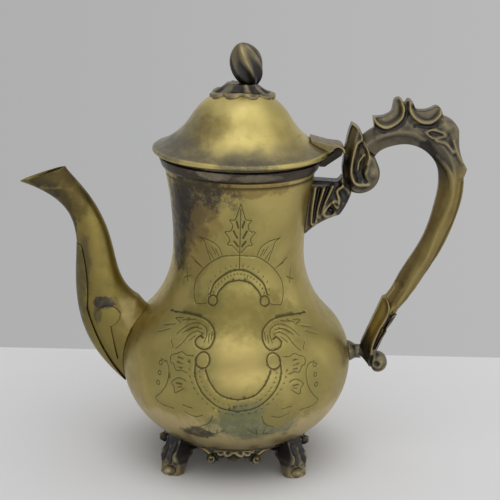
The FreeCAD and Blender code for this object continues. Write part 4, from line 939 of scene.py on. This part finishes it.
apronChasing = [
    ([(-24, 12.5), (0, 13.5), (24, 12.5)], 8, 0, -0.25),
    ([(26.9, 16.1), (21.9, 16.6), (16.3, 15), (12.8, 12.6)], 1.2, 1.3, 0.7),
    ([(13.4, 11.8), (13.6, 9.8), (11.8, 9.4), (10.6, 10.6), (11, 12.2), (12, 12)], 0.7, 0.7, 0.4),
    ([(0.6, 14.8), (2.4, 13.2), (4.4, 12.6)], 1.3, 1.1, 0.5),
    ([(5, 14.2), (7, 13), (8.6, 13.2)], 1.1, 1, 0.6),
    ([(4.2, 15.8), (7.6, 15.2), (10.4, 14.2)], 0.9, 0.7, 0.3),
    ([(24.4, 13.4), (19.5, 13.2), (16.8, 12.2)], 1.2, -0.6, -0.25),
]
apronForm = {"softening": 4, "wearHeight": 0.5, "lower": 1.3, "hem": (18, 13), "sideShade": 0.2}


def mirrored(strokes):
    return strokes + [([(-x, z) for x, z in marks], *rest) for marks, *rest in strokes if marks[0][0] > 0]


def quarterTurns(piece, *nodes):
    # the first of each stays where it was made
    names = [pieceName(node) for node in nodes]
    for turn, name in enumerate(names):
        copy = piece
        if turn > 0:
            pickOnly(piece)
            bpy.ops.object.duplicate()
            copy = bpy.context.object
            for key in list(copy.keys()):
                del copy[key]
            copy.rotation_mode = "XYZ"
            copy.rotation_euler = (0, 0, math.radians(90 * turn))
            bpy.ops.object.transform_apply(location=False, rotation=True, scale=False)
        takeName(copy, name)
    for name, node in zip(names, nodes):
        finishPiece(bpy.data.objects[name], "pot", castBrass, node)


def makeFeet():
    f = footForm
    diagonal = math.sqrt(0.5)
    foot = castCopy("foot_spout_front", castings["voxel"], f["softening"])
    shine = relief(foot, mirrored(footChasing), (diagonal, -diagonal, 0), (-diagonal, -diagonal, 0), False)
    # the toes spread outward and the knees draw in
    points = readPoints(foot)
    x, y, z = points.T
    aside = (x - y) / 2 * np.interp(z, f["heights"], f["wider"])
    x += aside
    y -= aside
    points[:, :2] -= diagonal * np.interp(z, f["heights"], f["outward"])[:, None]
    writePoints(foot, points)
    markWearAndPaintedLight(foot, shine + f["shine"] + f["toeShine"] * ramp(z, *f["toes"]))
    quarterTurns(foot, "foot_spout_front", "foot_handle_front", "foot_handle_rear", "foot_spout_rear")
    f = apronForm
    apron = castCopy("apron_front", castings["fineVoxel"], f["softening"])
    points = readPoints(apron)
    points[:, 2] -= f["lower"] * ramp(points[:, 2], *f["hem"])
    writePoints(apron, points)
    shine = relief(apron, mirrored(apronChasing), (1, 0, 0), (0, -1, 0), False)
    markWearAndPaintedLight(apron, shine, f["wearHeight"])
    quarterTurns(apron, "apron_front", "apron_handle", "apron_rear", "apron_spout")
    # painted shade: the two side aprons are made darker than the front and back ones
    for name in ("apronHandle", "apronSpout"):
        side = bpy.data.objects[name]
        writeMark(side, "wear", readMark(side, "wear") - f["sideShade"])


makeFeet()


# lid finial: a crumpled ring of leaves under a twisted bud

calyxForm = {
    "softening": 4, "leaves": 7, "turn": 0.4, "stretch": 1.045, "rim": 1.1, "rimAt": (0.93, 0.13), "draw": 0.05,
    "hollow": 1.5, "hollowAt": (0.66, 0.22), "rib": 0.5, "ribAt": (0.68, 0.3), "upward": (0.05, 0.45),
}
budForm = {
    "bottom": (5.4, 0, 206.4), "top": (-0.8, 0, 229.6), "girth": 8.7, "flat": 0.95, "lean": 0.2, "widest": 0.53,
    "ridges": 7, "start": 300, "twist": -46, "channel": 0.19, "sharp": 1.25, "rings": 44, "steps": 128,
    "wearReach": 22, "wearHeight": 0.8,
}


def makeCalyx():
    f = calyxForm
    calyx = castCopy("finial_calyx", castings["fineVoxel"], f["softening"])
    points, normals = readPoints(calyx), readNormals(calyx)
    low, high = points.min(0), points.max(0)
    middle = (low + high) / 2
    offsets = points - middle
    reach = np.hypot(*(offsets / (high - low))[:, :2].T) * 2
    turn = np.arctan2(offsets[:, 1], offsets[:, 0])
    leaf = np.cos(f["leaves"] * turn + f["turn"] + 0.9 * np.sin(2 * turn + 1))
    ragged = 0.6 * np.sin(3 * turn + 0.7) + 0.5 * np.sin(5 * turn + 2.1) + 0.4 * leaf
    rim = hill(reach, *f["rimAt"]) ** 2
    hollow = hill(reach, *f["hollowAt"]) ** 2 * np.clip(0.35 + 0.65 * leaf, 0, 1)
    rib = hill(reach, *f["ribAt"]) * np.clip(-leaf - 0.55, 0, 1) * 2
    lift = f["rim"] * rim * (0.6 + 0.4 * ragged) - f["hollow"] * hollow + f["rib"] * rib
    points[:, 2] += lift * ramp(normals[:, 2], *f["upward"])
    points[:, :2] += offsets[:, :2] * (f["draw"] * rim * (ragged - 0.9))[:, None]
    points[:, 0] = middle[0] + (points[:, 0] - middle[0]) * f["stretch"]
    writePoints(calyx, points, 2)
    shine = 0.42 * rim * np.clip(0.75 + 0.5 * ragged, 0, 1) - 0.4 * hollow + 0.2 * rib + 0.02
    finishCasting(calyx, "lid", "finial_calyx", shine)


def makeBud():
    f = budForm
    rings = []
    for step in range(f["rings"] + 1):
        along = 0.5 - 0.5 * math.cos(math.pi * (0.015 + 0.97 * step / f["rings"]))
        half = f["widest"] if along < f["widest"] else 1 - f["widest"]
        girth = f["girth"] * math.sqrt(max(1 - ((along - f["widest"]) / half) ** 2, 0)) ** 1.1
        centre = [low + (high - low) * along for low, high in zip(f["bottom"], f["top"])]
        ring = []
        for index in range(f["steps"]):
            turn = 2 * math.pi * index / f["steps"]
            lobe = abs(math.sin(f["ridges"] / 2 * (turn - math.radians(f["start"] + f["twist"] * along))))
            reach = girth * (1 - f["channel"] * lobe ** f["sharp"])
            ring.append((centre[0] + reach * math.cos(turn), centre[1] + f["flat"] * reach * math.sin(turn),
                         centre[2] + f["lean"] * reach * math.cos(turn)))
        rings.append(ring)
    bud = ringSheet("finialBud", rings, "fill")
    x, y, z = readPoints(bud).T
    along = (z - f["bottom"][2]) / (f["top"][2] - f["bottom"][2])
    across = x - f["bottom"][0] - along * (f["top"][0] - f["bottom"][0])
    turn = np.arctan2(y, across) - np.radians(f["start"] + f["twist"] * along)
    # painted light: one ridge gets a painted highlight that fades toward the bottom, and the bud is painted lighter
    # toward the top and darker toward the bottom
    facing = np.clip(np.cos(turn), 0, 1) ** 14
    shine = 0.3 * facing * ramp(along, 0.25, 0.75) + 0.5 * ramp(along, 0, 1) - 0.42
    finishCasting(bud, "lid", "finial_bud", shine, None, f["wearHeight"], f["wearReach"])


leafForm = {"softening": 7, "wearHeight": 0.4, "shine": 0.06, "rub": 0.45}


def makeHingeLeaf():
    f = leafForm
    leaf = castCopy("lid_hinge_leaf", castings["fineVoxel"], f["softening"], name="hingeLeaf")
    rub = np.full(len(leaf.data.vertices), f["rub"])
    finishCasting(leaf, "lid", "lid_hinge_leaf", f["shine"], rub, f["wearHeight"])


makeCalyx()
makeBud()
makeHingeLeaf()


# spout: one skin, with dark seams where the soldered leaf and cheeks sit on it

spoutForm = {
    "voxel": 0.45, "softening": 10, "seam": 0.75, "seamShare": 0.45, "flare": 3.2, "flareAcross": (-66, -57),
    "flareUp": (74, 82), "taper": 18, "sink": 0.6, "plateVoxel": 0.35, "plateSoftening": 3,
}


def makeSpout():
    f = spoutForm
    spout = castCopy("spout_tube", f["voxel"], f["softening"], name="spoutSkin")
    points, normals = readPoints(spout), readNormals(spout)
    root = ramp(points[:, 0], *f["flareAcross"]) ** 2 * ramp(points[:, 2], *f["flareUp"])
    outer = np.clip(normals[:, 0] + 0.4 * normals[:, 2], 0, 1)
    writePoints(spout, points + normals * (f["flare"] * root * outer)[:, None], 3)
    plates = []
    for name, node in (("spoutLeaf", "spout_front_leaf"), ("spoutCheekNear", "spout_cheek_near"),
                       ("spoutCheekFar", "spout_cheek_far")):
        plates.append((castCopy(node, f["plateVoxel"], f["plateSoftening"], name=name), node))
    # the front leaf thins out into the tube at its top
    leaf = plates[0][0]
    points = readPoints(leaf)
    top = points[:, 2].max()
    points[:, 0] += f["sink"] * ramp(points[:, 2], top - f["taper"], top) ** 2
    writePoints(leaf, points)
    gaps = gapsTo([(readPoints(plate), 0, 0) for plate, _ in plates], readPoints(spout))
    writeMark(spout, "groove", evenOut(spout, f["seamShare"] * ramp(gaps / f["seam"], 1.5, 0.5), 2))
    finishPiece(spout, "pot", spoutBrass, "spout_tube")
    for plate, node in plates:
        writeMark(plate, "groove", -1.5 * proudOf(plate, 12) - 0.1)
        finishPiece(plate, "pot", plateBrass, node)


makeSpout()


# floor, light and camera

stageSet = {
    "floorColour": (0.83, 0.83, 0.84),
    "floorEdge": 148,
    "floorDrop": 0.15,
    # painted shadow: a dark colour blended into the floor round the pot's feet
    "paintedShadowColour": (0.28, 0.28, 0.28),
    "paintedShadowReach": (54, 44, 30),
    "paintedShadowShare": 0.62,
    "wallLeft": (0.42, 0.42, 0.425),
    "wallRight": (0.485, 0.485, 0.49),
    "leftColour": (0.49, 0.49, 0.49),
    "rightColour": (0.58, 0.58, 0.58),
    "roomColour": (0.62, 0.62, 0.62),
    "skyColour": (0.76, 0.76, 0.77),
}


def makeStage():
    f = stageSet
    clearSelection()
    bpy.ops.mesh.primitive_plane_add(size=2, location=(0, f["floorEdge"] * mm - 1, -f["floorDrop"] * mm))
    floor = takeName(bpy.context.object, "floorSheet")
    bpy.ops.object.transform_apply(location=True, rotation=True, scale=True)
    material, shader, place = startMaterial("paleFloor")
    mottled = spread(noise(place, 3, 3, 0.5), 0.3, 0.7)
    colour = blend(mottled, [value * 0.97 for value in f["floorColour"]], f["floorColour"])
    # painted shadow: the floor's colour is darkened in a soft patch under the pot
    under = blotch(place, (0, 0, 0), f["paintedShadowReach"], 0.2, mottled, 0.6)
    colour = blend(times(under, f["paintedShadowShare"]), colour, f["paintedShadowColour"])
    feed(shader.inputs["Base Color"], colour)
    shader.inputs["Roughness"].default_value = 0.75
    floor.data.materials.append(material)
    # the wall behind is pale, with painted shade making it a little darker toward the left; the room is darker at the
    # sides and light above
    world = bpy.data.worlds.new("paleRoom")
    bpy.context.scene.world = world
    world.use_nodes = True
    tree = world.node_tree
    backdrop = tree.nodes["Background"]
    toward = tree.nodes.new("ShaderNodeTexCoord").outputs["Generated"]
    across, _, up = newNode(toward, "SeparateXYZ", {0: toward}).outputs
    wall = blend(spread(across, -0.33, 0.33), f["wallLeft"], f["wallRight"])
    room = blend(spread(across, -0.4, -0.9), f["roomColour"], f["leftColour"])
    room = blend(spread(across, 0.4, 0.9), room, f["rightColour"])
    room = blend(spread(up, 0.75, 1), room, f["skyColour"])
    seen = tree.nodes.new("ShaderNodeLightPath").outputs["Is Camera Ray"]
    feed(backdrop.inputs["Color"], blend(seen, room, wall))
    backdrop.inputs["Strength"].default_value = 1
    bpy.context.scene.view_settings.view_transform = "Standard"
    print("made the stage")


lampTarget = (0, 0, 0.1)
lamps = [
    ("softboxAbove", (0.22, -0.34, 1.2), (1.65, 0.95), 2.9),
    ("windowFront", (0.45, -1.1, 0.3), (1.9, 0.56), 2.6),
    ("fillRight", (1, 0.05, 0.4), (0.8, 0.6), 0.6),
]


def hangLamps():
    for name, spot, (width, height), power in lamps:
        bpy.ops.object.light_add(type="AREA", location=spot)
        lamp = takeName(bpy.context.object, name)
        lamp.data.shape = "RECTANGLE"
        lamp.data.size = width
        lamp.data.size_y = height
        lamp.data.energy = power
        lamp.rotation_euler = (Vector(lampTarget) - Vector(spot)).to_track_quat("-Z", "Y").to_euler()
    print("hung", len(lamps), "lamps")


view = {"place": (0, -0.7, 0.3282), "pitch": 16.8, "yaw": 0.52, "roll": 1.4, "lens": 96.55}


def setCamera():
    bpy.ops.object.camera_add(location=view["place"])
    camera = takeName(bpy.context.object, "photoCamera")
    aim = Euler((math.radians(90 - view["pitch"]), 0, math.radians(-view["yaw"]))).to_matrix()
    camera.rotation_euler = (aim @ Matrix.Rotation(math.radians(view["roll"]), 3, "Z")).to_euler()
    camera.data.lens = view["lens"]
    camera.data.sensor_width = 36
    camera.data.clip_start = 0.01
    bpy.context.scene.camera = camera
    print("set the camera")


makeStage()
hangLamps()
setCamera()
